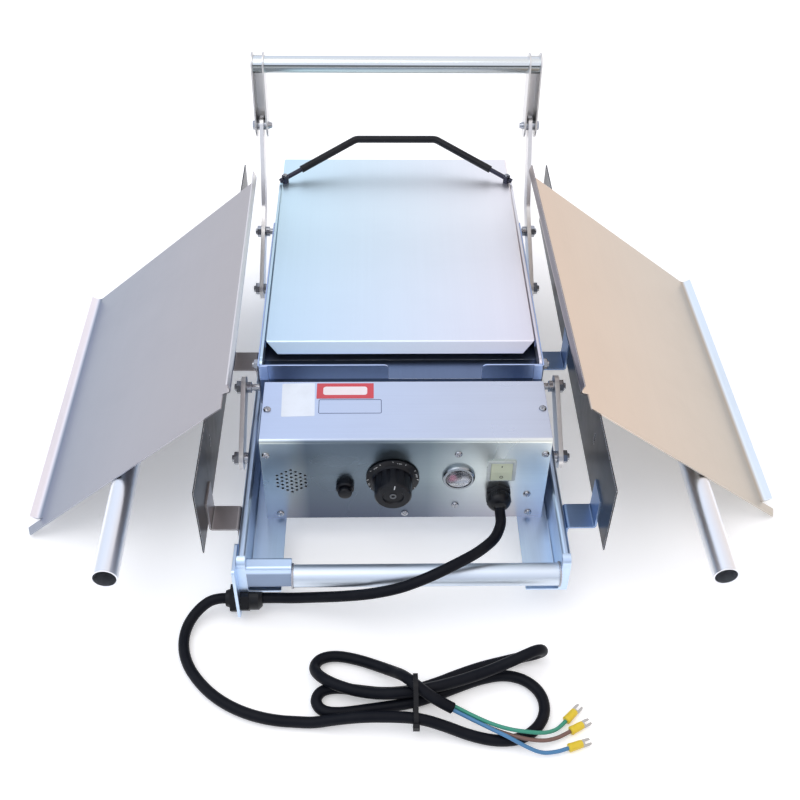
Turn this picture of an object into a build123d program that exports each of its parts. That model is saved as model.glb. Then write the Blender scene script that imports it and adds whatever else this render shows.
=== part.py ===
from build123d import *
import math
import os

# Two level bun grill: a rail frame, a heated tray on a lever linkage, a lid, and two loading paddles.
# Units are millimetres. X runs to the right, Y away from the control panel, Z up.
# The sizes below count X and Y from the middle between the rails; the pieces are written with the
# origin on the ground in the middle of the whole machine, which lies origin_x and origin_y from there.

os.makedirs("parts", exist_ok=True)

# Frame
origin_x = 4.98
origin_y = 25.74
ground_gap = 34.0            # height of the rubber feet
rail_length = 556.0
rail_inside = 314.0          # clear width between the two rails
rail_wall = 9.0              # width over the folded hollow wall
rail_height = 46.0           # above the flange that carries the paddle
flange_width = 33.0
frame_sheet = 2.0
frame_bend = 2.5             # centre line radius of the folds in the frame
rail_corner = 9.0            # rounded top corner at each rail end
foot_size = 28.0
foot_taper = 0.8             # bottom of a foot over its top
foot_inset_y = 75.0          # foot centre from the rail end
foot_from_wall = 10.0        # foot centre from the inner face of the rail
strap_width = 30.0
strap_from_end = 22.0

bar_size = 23.0
bar_wall = 2.0
bar_ahead = 4.0              # bar centre behind the front end of the rails
bar_height = 19.0            # bar centre above the flange
bracket_length = 45.0
bracket_depth = 15.0
bracket_low = 7.0            # lower edge above the flange
bracket_high = 36.0

# Side panels and the folded brackets that carry them
panel_gap = 30.5             # from a rail to its panel
panel_sheet = 1.5
panel_low = 52.0             # above the flange
panel_high = 139.9
panel_inset_front = 8.0      # from the front end of the rails
panel_past_back = 19.0       # beyond the back end of the rails
panel_slot = (3.0, 15.0)
panel_slot_y = -166.0
panel_slot_high = 103.0
arm_width = 31.0
arm_places_y = (-218.5, 20.5)
arm_drop = 28.0              # tab on the rail
arm_rise = 38.0              # tab on the panel
arm_below_top = 2.0          # bracket top under the rail top

# Control box
box_side_gap = 9.5           # from the box to each rail
box_depth = 86.5
box_height = 119.0
box_front = -183.0
box_middle = 2.7             # the box sits a little to the right
box_sheet = 1.2
box_bend = 3.5
box_lip = 10.0
side_screw_inset = 5.5       # from the edges of the box, on the front and on the top
side_screw_high = 98.5
base_screw_inset = 15.0
base_screw_high = 7.4
screw_head = 8.0
screw_head_high = 2.4
screw_shank = 4.0
screw_long = 9.0
screw_fit = 0.1
inner_screws = ((0.451, 20.5), (0.451, 99.2), (1.085, 37.0))
top_screws_y = 45.0          # behind the front face

# Controls: across as a share of the free half width of the panel, and up from its lower edge
buzzer_at = (-0.996, 59.4)
buzzer_pitch = 5.6
buzzer_hole = 3.2
buzzer_rings = 3
buzzer_size = 38.0
buzzer_deep = 16.0
button_at = (-0.529, 52.0)
button_size = 11.5
button_out = 12.0
button_travel = 2.5
collar_size = 19.0
collar_out = 6.5
dial_at = (-0.111, 64.3)
dial_skirt = 55.0
dial_body = 41.0
dial_out = 26.0
dial_gap = 1.2
dial_flutes = 14
flute_size = 5.0
shaft_size = 6.0
shaft_fit = 0.05
lamp_at = (0.465, 65.3)
lamp_size = 32.0
lens_size = 25.0
lamp_out = 5.0
rocker_at = (0.834, 74.6)
rocker_frame_width = 29.6
rocker_frame_high = 28.4
rocker_width = 22.0
rocker_high = 24.0
rocker_swing = 12.0          # degrees between off and on
box_gland_at = (0.827, 38.3)

# Parts behind the panel
thermostat_size = (42.0, 38.0)
thermostat_deep = 26.0
board_from_left = 37.5       # timer board from the left side of the box
board_from_back = 8.0
board_long = 96.0
board_wide = 44.0
board_thick = 3.0
relay_long = 30.0
relay_wide = 28.0
relay_high = 24.0
relay_from_left = 7.0
strip_long = 46.0
strip_wide = 18.0
strip_high = 16.0
strip_from_right = 5.0

# Cable glands and the supply lead
cord_size = 11.0
gland_hex = 25.0
gland_dome = 22.0
box_gland_out = 24.0
gland_hole = 18.0
frame_gland_y = -276.0
frame_gland_z = 21.0
gland_body_long = 22.0
gland_nut_long = 7.0
gland_tail = 5.0
plate_thick = 3.0
plate_front = -291.0
plate_back = -252.0
plate_low = 6.0

# Lever linkage
link_front_y = -124.0        # front pivot on the frame
link_rear_y = 175.0          # rear pivot on the frame
pivot_high = 31.0            # frame pivots above the flange
link_reach = 70.5            # from frame pivot to tray pivot, level
link_rise = 40.0             # and upwards, at rest
link_thick = 5.0
link_width = 25.0
link_gap = 5.5               # between the rail and the link
stud_size = 8.0
pivot_fit = 0.08
open_fit = 0.3               # looser hole at the pivot that closes the linkage
nut_size = 13.0
nut_long = 5.5
running_gap = 0.25
knee_y = 98.0                # bend of the lever from its frame pivot
knee_z = 59.0
lever_top_y = 153.0          # top bolt of the lever from its frame pivot
lever_top_z = 149.0
knee_radius = 26.0
grip_y = 162.0               # grip tube from the lever's frame pivot
grip_z = 229.0
grip_size = 21.0
grip_wall = 1.5
yoke_width = 16.0
yoke_sheet = 2.0
yoke_clear = 0.3             # yoke web to the lever's round end
yoke_bolt = 6.0
yoke_nut = 10.0
yoke_nut_thick = 5.0
yoke_head_thick = 4.2
yoke_spacer = 12.0

# Heated tray
tray_clear = 1.2             # tray wall to rail
tray_sheet = 1.5
tray_bend = 1.5
tray_tab = 11.0              # side wall folded in over the front wall
tray_front_y = -64.0
tray_step_y = 205.0
tray_back_y = 263.0
tray_low = 57.0              # above the flange
tray_high = 113.0
tray_step_high = 85.0
tray_shelf = 93.0            # working surface of the upper level
cutout_left = -13.6
cutout_width = 102.0
cutout_round = 5.0
platen_front_y = -33.0
platen_back_y = 349.0
lower_platen_thick = 12.0
element_size = 8.0
element_runs = 6
element_pitch = 42.0
element_margin = 34.0
seat_gap = 0.2

# Lid
lid_sheet = 1.2
lid_side_gap = 0.3           # from the lid's arms to the tray walls
lid_front_y = -25.0
lid_back_y = 352.0
lid_high = 114.5             # top face above the flange
lid_flap = 14.2              # front flange, along its slope
lid_flap_slope = 32.0        # degrees from upright
lid_skirt = 11.0
lid_chamfer = 15.5           # front flange drawn in at its lower corners
lid_bend = 2.0
lid_arm_thick = 3.0
lid_arm_wide = 15.0
lid_arm_back = 312.0
lid_hinge_y = -54.5
lid_hinge_high = 106.0
lid_bolt = 6.0
lid_nut = 10.0
lid_nut_thick = 4.5
lid_bolt_past = 2.0          # thread beyond the nut
handle_rod = 6.0
handle_sleeve_size = 9.5
handle_from_back = 59.8      # rod ends from the back edge of the lid
handle_above = 0.5           # rod above the lid at its ends
handle_past = 2.0            # rod ends beyond the lid's sides
handle_tilt = 31.5
handle_reach = 61.2          # along the tilted plane
handle_shoulder = 100.0      # each leg, across the lid
sleeve_share = 0.28          # bare part of each leg
handle_bend = 14.0
handle_boss = 9.0
handle_boss_inset = 4.7      # boss centre from the lid's side
handle_boss_past = 1.0       # boss above the rod

# Paddles, flat on their own plane and then leant on the panels
paddle_width = 305.0
paddle_length = 404.0
paddle_sheet = 1.5
paddle_lip = 12.0
paddle_lip_angle = 70.0
paddle_bend = 8.0
paddle_strip = 15.0          # flat strip along the front edge, where the lips stop
paddle_slit = 1.0            # between the end of a lip and the strip
strip_past = 7.0             # strip beyond the lip, at the front edge
strip_past_back = 14.0       # and at its back corner
corner_cut = 18.0            # inner front corner cut off
corner_cut_deep = 20.0
corner_cut_side = 12.0
paddle_handle = 26.0
paddle_handle_wall = 1.5
paddle_handle_out = 120.0
paddle_handle_under = 70.0
lean_gap = 0.25
left_over = 43.0             # part of the width that reaches past the panel top
left_turn = 1.0              # turn in its own plane, degrees
left_front = -173.8
left_handle_off = 23.0       # handle from the middle of the sheet, outwards
right_over = 33.5
right_turn = -2.2
right_front = -171.2
right_handle_off = 45.0

# Shared places worked out from the sizes above
flange_z = ground_gap + frame_sheet
rail_in = rail_inside / 2
rail_out = rail_in + rail_wall
rail_top = flange_z + rail_height
rail_front = -rail_length / 2
rail_back = rail_length / 2
link_in = rail_out + link_gap
link_out = link_in + link_thick
link_mid = (link_in + link_out) / 2
pivot_z = flange_z + pivot_high
tray_pivot_z = pivot_z + link_rise
front_tray_pivot_y = link_front_y + link_reach
rear_tray_pivot_y = link_rear_y + link_reach
tray_out = rail_in - tray_clear
tray_in = tray_out - tray_sheet
lid_half = tray_in - lid_side_gap - lid_arm_thick
box_width = rail_inside - 2 * box_side_gap
stud_end = link_out + running_gap + nut_long + 2.5


def folded(plane, points, thickness, bend, depth):
    """A strip of sheet metal folded along the points and as long as depth."""
    with BuildPart() as strip:
        with BuildSketch(plane):
            with BuildLine():
                FilletPolyline(*points, radius=bend)
            trace(line_width=thickness)
        extrude(amount=depth)
    return strip.part


def mirrored(piece):
    """The same piece for the other side of the machine."""
    with BuildPart() as other:
        add(piece)
        mirror(about=Plane.YZ, mode=Mode.REPLACE)
    return other.part


def both_sides(piece):
    """One node that holds the piece on the right and its twin on the left."""
    with BuildPart() as pair:
        add(piece)
        mirror(about=Plane.YZ)
    return pair.part


def keep(piece, name):
    """Move one finished piece to the shared origin and write its file."""
    placed = Pos(-origin_x, -origin_y, 0) * piece
    placed.label = name
    export_step(placed, f"parts/{name}.step")


# Rails: bottom flange, inner wall, top fold and outer wall are one folded sheet
half_sheet = frame_sheet / 2
rail_path = [
    (rail_in - flange_width, flange_z - half_sheet),
    (rail_in + half_sheet, flange_z - half_sheet),
    (rail_in + half_sheet, rail_top - half_sheet),
    (rail_out - half_sheet, rail_top - half_sheet),
    (rail_out - half_sheet, ground_gap),
]
plane_front = Plane(origin=(0, rail_front, 0), x_dir=(1, 0, 0), z_dir=(0, -1, 0))
plane_back = Plane(origin=(0, rail_back, 0), x_dir=(1, 0, 0), z_dir=(0, -1, 0))
with BuildPart() as rail_right:
    add(folded(plane_back, rail_path, frame_sheet, frame_bend, rail_length))
    with BuildSketch(plane_front.offset(-frame_sheet)):
        with Locations(((rail_in + rail_out) / 2, (ground_gap + rail_top) / 2)):
            Rectangle(rail_wall, rail_top - ground_gap)
    extrude(amount=frame_sheet)
    with BuildSketch(plane_back):
        with Locations(((rail_in + rail_out) / 2, (ground_gap + rail_top) / 2)):
            Rectangle(rail_wall, rail_top - ground_gap)
    extrude(amount=frame_sheet)
    with BuildSketch(Plane.YZ.offset(rail_in - 1)):
        for end in (rail_front, rail_back):
            inward = math.copysign(rail_corner, -end)
            with BuildLine():
                top_edge = Line((end, rail_top - rail_corner), (end, rail_top))
                Line(top_edge @ 1, (end + inward, rail_top))
                RadiusArc((end + inward, rail_top), top_edge @ 0, math.copysign(rail_corner, inward))
            make_face()
    extrude(amount=rail_wall + 2, mode=Mode.SUBTRACT)
    with BuildSketch(Plane.YZ.offset(rail_out - 2 * frame_sheet)):
        with Locations((link_front_y, pivot_z), (link_rear_y, pivot_z)):
            Circle(stud_size / 2)
    extrude(amount=3 * frame_sheet, mode=Mode.SUBTRACT)
keep(rail_right.part, "rail_right")
rail_left = mirrored(rail_right.part)
keep(rail_left, "rail_left")

# Front bar, and the folded box that joins it to the left rail above the cable gland
bar_y = rail_front + bar_ahead
bar_z = flange_z + bar_height
bar_left = -rail_in + bracket_length
with BuildPart() as front_bar:
    with BuildSketch(Plane.YZ.offset(bar_left)):
        with Locations((bar_y, bar_z)):
            Circle(bar_size / 2)
            Circle(bar_size / 2 - bar_wall, mode=Mode.SUBTRACT)
    extrude(amount=rail_in - bar_left)
keep(front_bar.part, "front_bar")

bracket_path = [
    (rail_front + half_sheet, flange_z + bracket_low),
    (rail_front + half_sheet, flange_z + bracket_high - half_sheet),
    (rail_front + bracket_depth - half_sheet, flange_z + bracket_high - half_sheet),
    (rail_front + bracket_depth - half_sheet, flange_z + bracket_low),
]
with BuildPart() as bar_bracket:
    add(folded(Plane.YZ.offset(-rail_in), bracket_path, frame_sheet, frame_bend, bracket_length))
    with BuildSketch(Plane.YZ.offset(bar_left - frame_sheet)):
        with Locations((rail_front + bracket_depth / 2, flange_z + (bracket_low + bracket_high) / 2)):
            Rectangle(bracket_depth - frame_sheet, bracket_high - bracket_low - frame_sheet)
    extrude(amount=frame_sheet)
keep(bar_bracket.part, "bar_bracket")

# Plate outside the left rail that carries the frame gland below the rail
with BuildPart() as gland_plate:
    with BuildSketch(Plane.YZ.offset(-rail_out)):
        with Locations(((plate_front + plate_back) / 2, (plate_low + rail_top) / 2)):
            RectangleRounded(plate_back - plate_front, rail_top - plate_low, 4)
        with Locations((frame_gland_y, frame_gland_z)):
            Circle(gland_hole / 2, mode=Mode.SUBTRACT)
    extrude(amount=-plate_thick)
keep(gland_plate.part, "gland_plate")

# Rear strap between the two flanges
with BuildPart() as rear_strap:
    with BuildSketch(Plane.XY.offset(ground_gap)):
        with Locations((0, rail_back - strap_from_end - strap_width / 2)):
            Rectangle(2 * (rail_in - flange_width), strap_width)
    extrude(amount=frame_sheet)
keep(rear_strap.part, "rear_strap")

# Four tapered rubber feet under the flanges
foot_x = rail_in - foot_from_wall
foot_y = rail_length / 2 - foot_inset_y
foot_angle = math.degrees(math.atan2(foot_size * (1 - foot_taper) / 2, ground_gap))
with BuildPart() as rubber_feet:
    with BuildSketch(Plane.XY.offset(ground_gap)):
        with GridLocations(2 * foot_x, 2 * foot_y, 2, 2):
            Circle(foot_size / 2)
    extrude(amount=-ground_gap, taper=foot_angle)
keep(rubber_feet.part, "rubber_feet")

# Folded brackets from the rails out to the side panels
panel_in = rail_out + panel_gap
arm_top = rail_top - arm_below_top
arm_path = [
    (rail_out + half_sheet, arm_top - arm_drop),
    (rail_out + half_sheet, arm_top - half_sheet),
    (panel_in - half_sheet, arm_top - half_sheet),
    (panel_in - half_sheet, arm_top + arm_rise),
]
with BuildPart() as panel_brackets:
    for place_y in arm_places_y:
        arm_plane = Plane(origin=(0, place_y + arm_width / 2, 0), x_dir=(1, 0, 0), z_dir=(0, -1, 0))
        add(folded(arm_plane, arm_path, frame_sheet, frame_bend, arm_width))
keep(both_sides(panel_brackets.part), "panel_brackets")

# Side panels stand on edge outside the linkage
panel_front = rail_front + panel_inset_front
panel_back = rail_back + panel_past_back
with BuildPart() as side_panel_right:
    with BuildSketch(Plane.YZ.offset(panel_in)):
        with Locations(((panel_front + panel_back) / 2, flange_z + (panel_low + panel_high) / 2)):
            Rectangle(panel_back - panel_front, panel_high - panel_low)
        with Locations((panel_slot_y, flange_z + panel_slot_high)):
            SlotOverall(panel_slot[1], panel_slot[0], rotation=90, mode=Mode.SUBTRACT)
    extrude(amount=panel_sheet)
keep(side_panel_right.part, "side_panel_right")
side_panel_left = mirrored(side_panel_right.part)
keep(side_panel_left, "side_panel_left")

# Control box: an open folded body, and one sheet that makes its front and top
box_back = box_front + box_depth
box_top = flange_z + box_height
body_front = box_front + box_sheet
body_top = box_top - box_sheet
with BuildPart() as box_body:
    with BuildSketch(Plane.XY.offset(flange_z)):
        with Locations((box_middle, (body_front + box_back) / 2)):
            Rectangle(box_width, box_back - body_front)
    extrude(amount=body_top - flange_z)
    open_sides = [box_body.faces().sort_by(Axis.Z)[-1], box_body.faces().sort_by(Axis.Y)[0]]
    offset(amount=-box_sheet, openings=open_sides)
    lip_x = box_width / 2 - box_lip / 2
    with BuildSketch(Plane.XY.offset(body_top)):
        with Locations((box_middle - lip_x, (body_front + box_back) / 2), (box_middle + lip_x, (body_front + box_back) / 2)):
            Rectangle(box_lip, box_back - body_front)
    extrude(amount=-box_sheet)
    with BuildSketch(Plane(origin=(box_middle, body_front, 0), x_dir=(1, 0, 0), z_dir=(0, -1, 0))):
        with Locations((-lip_x, (flange_z + body_top) / 2), (lip_x, (flange_z + body_top) / 2)):
            Rectangle(box_lip, body_top - flange_z)
        with Locations((0, flange_z + box_lip / 2)):
            Rectangle(box_width, box_lip)
    extrude(amount=-box_sheet)
    with BuildSketch(Plane.YZ.offset(box_middle - box_width / 2)):
        with Locations((body_front, body_top)):
            Rectangle(2 * box_bend, 2 * box_bend, rotation=45)
    extrude(amount=box_width, mode=Mode.SUBTRACT)
keep(box_body.part, "box_body")


control_half = box_width / 2 - box_lip - buzzer_size / 2


def on_front(place):
    """A place on the control panel: a share of its free half width, and a height above its lower edge."""
    return (box_middle + place[0] * control_half, flange_z + place[1])


def panel_plane(ahead=0.0):
    """The plane of the control panel, seen from the front, moved ahead of it."""
    return Plane(origin=(0, box_front - ahead, 0), x_dir=(1, 0, 0), z_dir=(0, -1, 0))


half_box_sheet = box_sheet / 2
cover_path = [
    (box_front + half_box_sheet, flange_z),
    (box_front + half_box_sheet, box_top - half_box_sheet),
    (box_back, box_top - half_box_sheet),
]
cover_left = box_middle - box_width / 2
gland_at = on_front(box_gland_at)
buzzer_centre = on_front(buzzer_at)
side_screw_x = box_width / 2 - side_screw_inset
base_screw_x = box_width / 2 - base_screw_inset
screw_places = [on_front(place) for place in inner_screws]
for screw_x in (-side_screw_x, side_screw_x):
    screw_places.append((box_middle + screw_x, flange_z + side_screw_high))
for screw_x in (-base_screw_x, 0, base_screw_x):
    screw_places.append((box_middle + screw_x, flange_z + base_screw_high))
top_screw_y = box_front + top_screws_y
top_screw_places = [(box_middle - side_screw_x, top_screw_y), (box_middle + side_screw_x, top_screw_y)]
with BuildPart() as box_cover:
    add(folded(Plane.YZ.offset(cover_left), cover_path, box_sheet, box_bend, box_width))
    with BuildSketch(panel_plane(1)):
        with Locations(on_front(button_at)):
            Circle(collar_size / 2 - 1.5)
        with Locations(on_front(dial_at)):
            Circle(shaft_size)
        with Locations(on_front(lamp_at)):
            Circle(lens_size / 2 - 1)
        with Locations(on_front(rocker_at)):
            Rectangle(rocker_frame_width - 4, rocker_frame_high - 3)
        with Locations(gland_at):
            Circle(gland_hole / 2)
        with Locations(buzzer_centre):
            for column in range(-buzzer_rings, buzzer_rings + 1):
                column_x = column * buzzer_pitch * math.cos(math.radians(30))
                with Locations((column_x, 0)):
                    with GridLocations(1, buzzer_pitch, 1, 2 * buzzer_rings + 1 - abs(column)):
                        RegularPolygon(buzzer_hole / 2, 8)
        with Locations(*screw_places):
            Circle(screw_shank / 2)
    extrude(amount=-(box_sheet + 2), mode=Mode.SUBTRACT)
    with BuildSketch(Plane.XY.offset(box_top + 1)):
        with Locations(*top_screw_places):
            Circle(screw_shank / 2)
    extrude(amount=-(box_sheet + 2), mode=Mode.SUBTRACT)
keep(box_cover.part, "box_cover")

# Pan head screws of the box, through the cover into the lips
with BuildPart() as box_screws:
    with BuildSketch(panel_plane()):
        with Locations(*screw_places):
            Circle(screw_head / 2)
    extrude(amount=screw_head_high, taper=18)
    with BuildSketch(Plane.XY.offset(box_top)):
        with Locations(*top_screw_places):
            Circle(screw_head / 2)
    extrude(amount=screw_head_high, taper=18)
    with BuildSketch(panel_plane()):
        with Locations(*screw_places):
            Circle(screw_shank / 2 - screw_fit)
    extrude(amount=-box_sheet)
    with BuildSketch(Plane.XY.offset(box_top)):
        with Locations(*top_screw_places):
            Circle(screw_shank / 2 - screw_fit)
    extrude(amount=-box_sheet)
keep(box_screws.part, "box_screws")

# Buzzer behind its holes
with BuildPart() as buzzer:
    with BuildSketch(panel_plane(-box_sheet)):
        with Locations(buzzer_centre):
            Circle(buzzer_size / 2)
            Circle(buzzer_size / 2 - 3, mode=Mode.SUBTRACT)
    extrude(amount=-4)
    with BuildSketch(panel_plane(-box_sheet - 4)):
        with Locations(buzzer_centre):
            Circle(buzzer_size / 2)
    extrude(amount=-(buzzer_deep - 4))
keep(buzzer.part, "buzzer")

# Push button in its collar; the plunger slides in the collar
button_centre = on_front(button_at)
with BuildPart() as button_collar:
    with BuildSketch(panel_plane()):
        with Locations(button_centre):
            Circle(collar_size / 2)
    extrude(amount=collar_out)
    with BuildSketch(panel_plane()):
        with Locations(button_centre):
            Circle(collar_size / 2 - 1.7)
    extrude(amount=-22)
    with BuildSketch(panel_plane(collar_out)):
        with Locations(button_centre):
            Circle(button_size / 2 + shaft_fit)
    extrude(amount=-(collar_out + 16), mode=Mode.SUBTRACT)
    chamfer(button_collar.edges().filter_by(GeomType.CIRCLE).sort_by(Axis.Y)[0:2].sort_by(SortBy.RADIUS)[-1], 1.5)
keep(button_collar.part, "button_collar")
with BuildPart() as push_button:
    with BuildSketch(panel_plane(button_out)):
        with Locations(button_centre):
            Circle(button_size / 2)
    extrude(amount=-(button_out + 16 - button_travel - 0.3))
    fillet(push_button.edges().filter_by(GeomType.CIRCLE).sort_by(Axis.Y)[0], 1.5)
keep(push_button.part, "push_button")

# Thermostat with its shaft, and the dial on the shaft
dial_centre = on_front(dial_at)
with BuildPart() as thermostat:
    with BuildSketch(panel_plane(-box_sheet)):
        with Locations(dial_centre):
            RectangleRounded(*thermostat_size, 4)
    extrude(amount=-thermostat_deep)
    with BuildSketch(panel_plane(-box_sheet)):
        with Locations(dial_centre):
            Circle(shaft_size / 2)
    extrude(amount=box_sheet + dial_gap + dial_out * 0.7)
keep(thermostat.part, "thermostat")

dial_foot = 3.2
dial_face = dial_gap + dial_out
with BuildPart() as dial_knob:
    with BuildSketch(Plane(origin=(dial_centre[0], box_front, dial_centre[1]), x_dir=(1, 0, 0), z_dir=(0, 0, 1))):
        with BuildLine():
            Polyline(
                (0, -dial_gap),
                (dial_skirt / 2, -dial_gap),
                (dial_skirt / 2, -dial_gap - 1.2),
                (dial_body / 2 + 1.5, -dial_gap - dial_foot),
                (dial_body / 2, -dial_gap - dial_foot - 1.5),
                (dial_body / 2 - 1.6, -dial_face + 1.5),
                (dial_body / 2 - 3.1, -dial_face),
                (11, -dial_face),
                (10, -dial_face + 1.6),
                (0, -dial_face + 1.6),
                close=True,
            )
        make_face()
    revolve(axis=Axis((dial_centre[0], box_front, dial_centre[1]), (0, 1, 0)))
    with BuildSketch(panel_plane(dial_gap + dial_foot + 2.0)):
        with Locations(dial_centre):
            with PolarLocations(dial_body / 2 + 1.0, dial_flutes):
                Circle(flute_size / 2)
    extrude(amount=dial_out, mode=Mode.SUBTRACT)
    with BuildSketch(panel_plane()):
        with Locations(dial_centre):
            Circle(shaft_size / 2 + shaft_fit)
    extrude(amount=dial_gap + dial_out * 0.7 + 0.3, mode=Mode.SUBTRACT)
keep(dial_knob.part, "dial_knob")

# Round indicator: bezel with its body, and a clear lens
lamp_centre = on_front(lamp_at)
with BuildPart() as lamp_body:
    with BuildSketch(panel_plane()):
        with Locations(lamp_centre):
            Circle(lamp_size / 2)
    extrude(amount=lamp_out)
    with BuildSketch(panel_plane()):
        with Locations(lamp_centre):
            Circle(lens_size / 2 - 1)
    extrude(amount=-24)
    with BuildSketch(panel_plane(lamp_out)):
        with Locations(lamp_centre):
            Circle(lens_size / 2)
    extrude(amount=-(lamp_out - 1), mode=Mode.SUBTRACT)
    chamfer(lamp_body.edges().filter_by(GeomType.CIRCLE).sort_by(Axis.Y)[0:2].sort_by(SortBy.RADIUS)[-1], 1.8)
keep(lamp_body.part, "lamp_body")
with BuildPart() as lamp_lens:
    with BuildSketch(panel_plane(1)):
        with Locations(lamp_centre):
            Circle(lens_size / 2 - 0.1)
    extrude(amount=lamp_out - 1)
    fillet(lamp_lens.edges().filter_by(GeomType.CIRCLE).sort_by(Axis.Y)[0], 1.5)
keep(lamp_lens.part, "lamp_lens")

# Power switch: a frame and a rocker that tips about a level pin
rocker_centre = on_front(rocker_at)
rocker_pivot = box_front - 1.0
with BuildPart() as rocker_frame:
    with BuildSketch(panel_plane()):
        with Locations(rocker_centre):
            RectangleRounded(rocker_frame_width, rocker_frame_high, 2)
    extrude(amount=2.5)
    with BuildSketch(panel_plane()):
        with Locations(rocker_centre):
            Rectangle(rocker_frame_width - 4.4, rocker_frame_high - 3.4)
    extrude(amount=-24)
    with BuildSketch(panel_plane(2.5)):
        with Locations(rocker_centre):
            Rectangle(rocker_width + 0.6, rocker_high + 0.6)
    extrude(amount=-16, mode=Mode.SUBTRACT)
keep(rocker_frame.part, "rocker_frame")
with BuildPart() as rocker:
    rocker_half = rocker_high / 2 - 0.6
    tip = math.tan(math.radians(rocker_swing / 2))
    with BuildSketch(Plane.YZ.offset(rocker_centre[0] - rocker_width / 2)):
        with BuildLine():
            middle = (rocker_pivot - 2.6, rocker_centre[1])
            Polyline(
                (rocker_pivot + 6, rocker_centre[1] - 4),
                (rocker_pivot + 6, rocker_centre[1] + 4),
                (rocker_pivot + 1.5, rocker_centre[1] + rocker_half),
                (middle[0] + 2 * tip * rocker_half - 0.4, rocker_centre[1] + rocker_half),
                middle,
                (middle[0] - 0.4, rocker_centre[1] - rocker_half),
                (rocker_pivot - 0.5, rocker_centre[1] - rocker_half),
                close=True,
            )
        make_face()
    extrude(amount=rocker_width)
keep(rocker.part, "rocker")

# Timer board with the relay and the terminal strip, on the floor of the box
board_left = box_middle - box_width / 2 + board_from_left
board_middle_y = box_back - board_from_back - board_wide / 2
board_top = Plane.XY.offset(flange_z + box_sheet + board_thick)
with BuildPart() as timer_module:
    with BuildSketch(board_top):
        with Locations((board_left + board_long / 2, board_middle_y)):
            Rectangle(board_long, board_wide)
    extrude(amount=-board_thick)
    with BuildSketch(board_top):
        with Locations((board_left + relay_from_left + relay_long / 2, board_middle_y)):
            Rectangle(relay_long, relay_wide)
    extrude(amount=relay_high)
    with BuildSketch(board_top):
        with Locations((board_left + board_long - strip_from_right - strip_long / 2, board_middle_y)):
            Rectangle(strip_long, strip_wide)
    extrude(amount=strip_high)
keep(timer_module.part, "timer_module")

# Cable gland on the panel: locknut inside, hexagon and dome outside
with BuildPart() as box_gland:
    with BuildSketch(panel_plane()):
        with Locations(gland_at):
            RegularPolygon(gland_hex / 2, 6, major_radius=False)
    extrude(amount=6)
    with BuildSketch(panel_plane(6)):
        with Locations(gland_at):
            Circle(gland_dome / 2)
    extrude(amount=box_gland_out - 6, taper=6)
    with BuildSketch(panel_plane()):
        with Locations(gland_at):
            Circle(gland_hole / 2)
    extrude(amount=-box_sheet)
    with BuildSketch(panel_plane(-box_sheet)):
        with Locations(gland_at):
            RegularPolygon(gland_hex / 2, 6, major_radius=False)
    extrude(amount=-5)
keep(box_gland.part, "box_gland")

# Gland through the frame plate: body towards the machine, nut and tail outside
with BuildPart() as frame_gland:
    with BuildSketch(Plane.YZ.offset(-rail_out)):
        with Locations((frame_gland_y, frame_gland_z)):
            RegularPolygon(gland_hex / 2, 6, major_radius=False)
    extrude(amount=gland_body_long * 0.4)
    with BuildSketch(Plane.YZ.offset(-rail_out + gland_body_long * 0.4)):
        with Locations((frame_gland_y, frame_gland_z)):
            Circle(gland_hex / 2 - 0.5)
    extrude(amount=gland_body_long * 0.6)
    chamfer(frame_gland.edges().filter_by(GeomType.CIRCLE).sort_by(Axis.X)[-1], 3.5)
    with BuildSketch(Plane.YZ.offset(-rail_out)):
        with Locations((frame_gland_y, frame_gland_z)):
            Circle(gland_hole / 2)
    extrude(amount=-(plate_thick + gland_nut_long))
keep(frame_gland.part, "frame_gland")
with BuildPart() as frame_gland_nut:
    with BuildSketch(Plane.YZ.offset(-rail_out - plate_thick)):
        with Locations((frame_gland_y, frame_gland_z)):
            RegularPolygon(gland_hex / 2 + 1, 6, major_radius=False)
    extrude(amount=-gland_nut_long)
    with BuildSketch(Plane.YZ.offset(-rail_out - plate_thick - gland_nut_long)):
        with Locations((frame_gland_y, frame_gland_z)):
            Circle(gland_hole / 2 + 1)
    extrude(amount=-gland_tail, taper=20)
    with BuildSketch(Plane.YZ.offset(-rail_out - plate_thick)):
        with Locations((frame_gland_y, frame_gland_z)):
            Circle(gland_hole / 2)
    extrude(amount=-gland_nut_long, mode=Mode.SUBTRACT)
keep(frame_gland_nut.part, "frame_gland_nut")


def corner_radii(points):
    """For each corner of a route, the largest arc that its two runs allow."""
    spots = [Vector(*point) for point in points]
    radii = []
    for before, corner, after in zip(spots, spots[1:], spots[2:]):
        run_in = corner - before
        run_out = after - corner
        half_turn = math.radians(run_in.get_angle(run_out)) / 2
        radii.append(0.45 * min(run_in.length, run_out.length) / math.tan(half_turn))
    return radii


def cord_along(points, size, name):
    """A round cord whose straight runs are joined by tangent arcs."""
    radii = corner_radii(points)
    with BuildPart() as cord:
        with BuildLine() as route:
            FilletPolyline(*points, radius=radii)
        path = route.wires()[0]
        with BuildSketch(Plane(origin=path @ 0, z_dir=path % 0)):
            Circle(size / 2)
        sweep(path=path)
    section = math.pi * size**2 / 4
    print(name, "length", round(path.length), "smallest arc", round(min(radii), 1),
          "volume share", round(cord.part.volume / (section * path.length), 4))
    return cord.part


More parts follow.
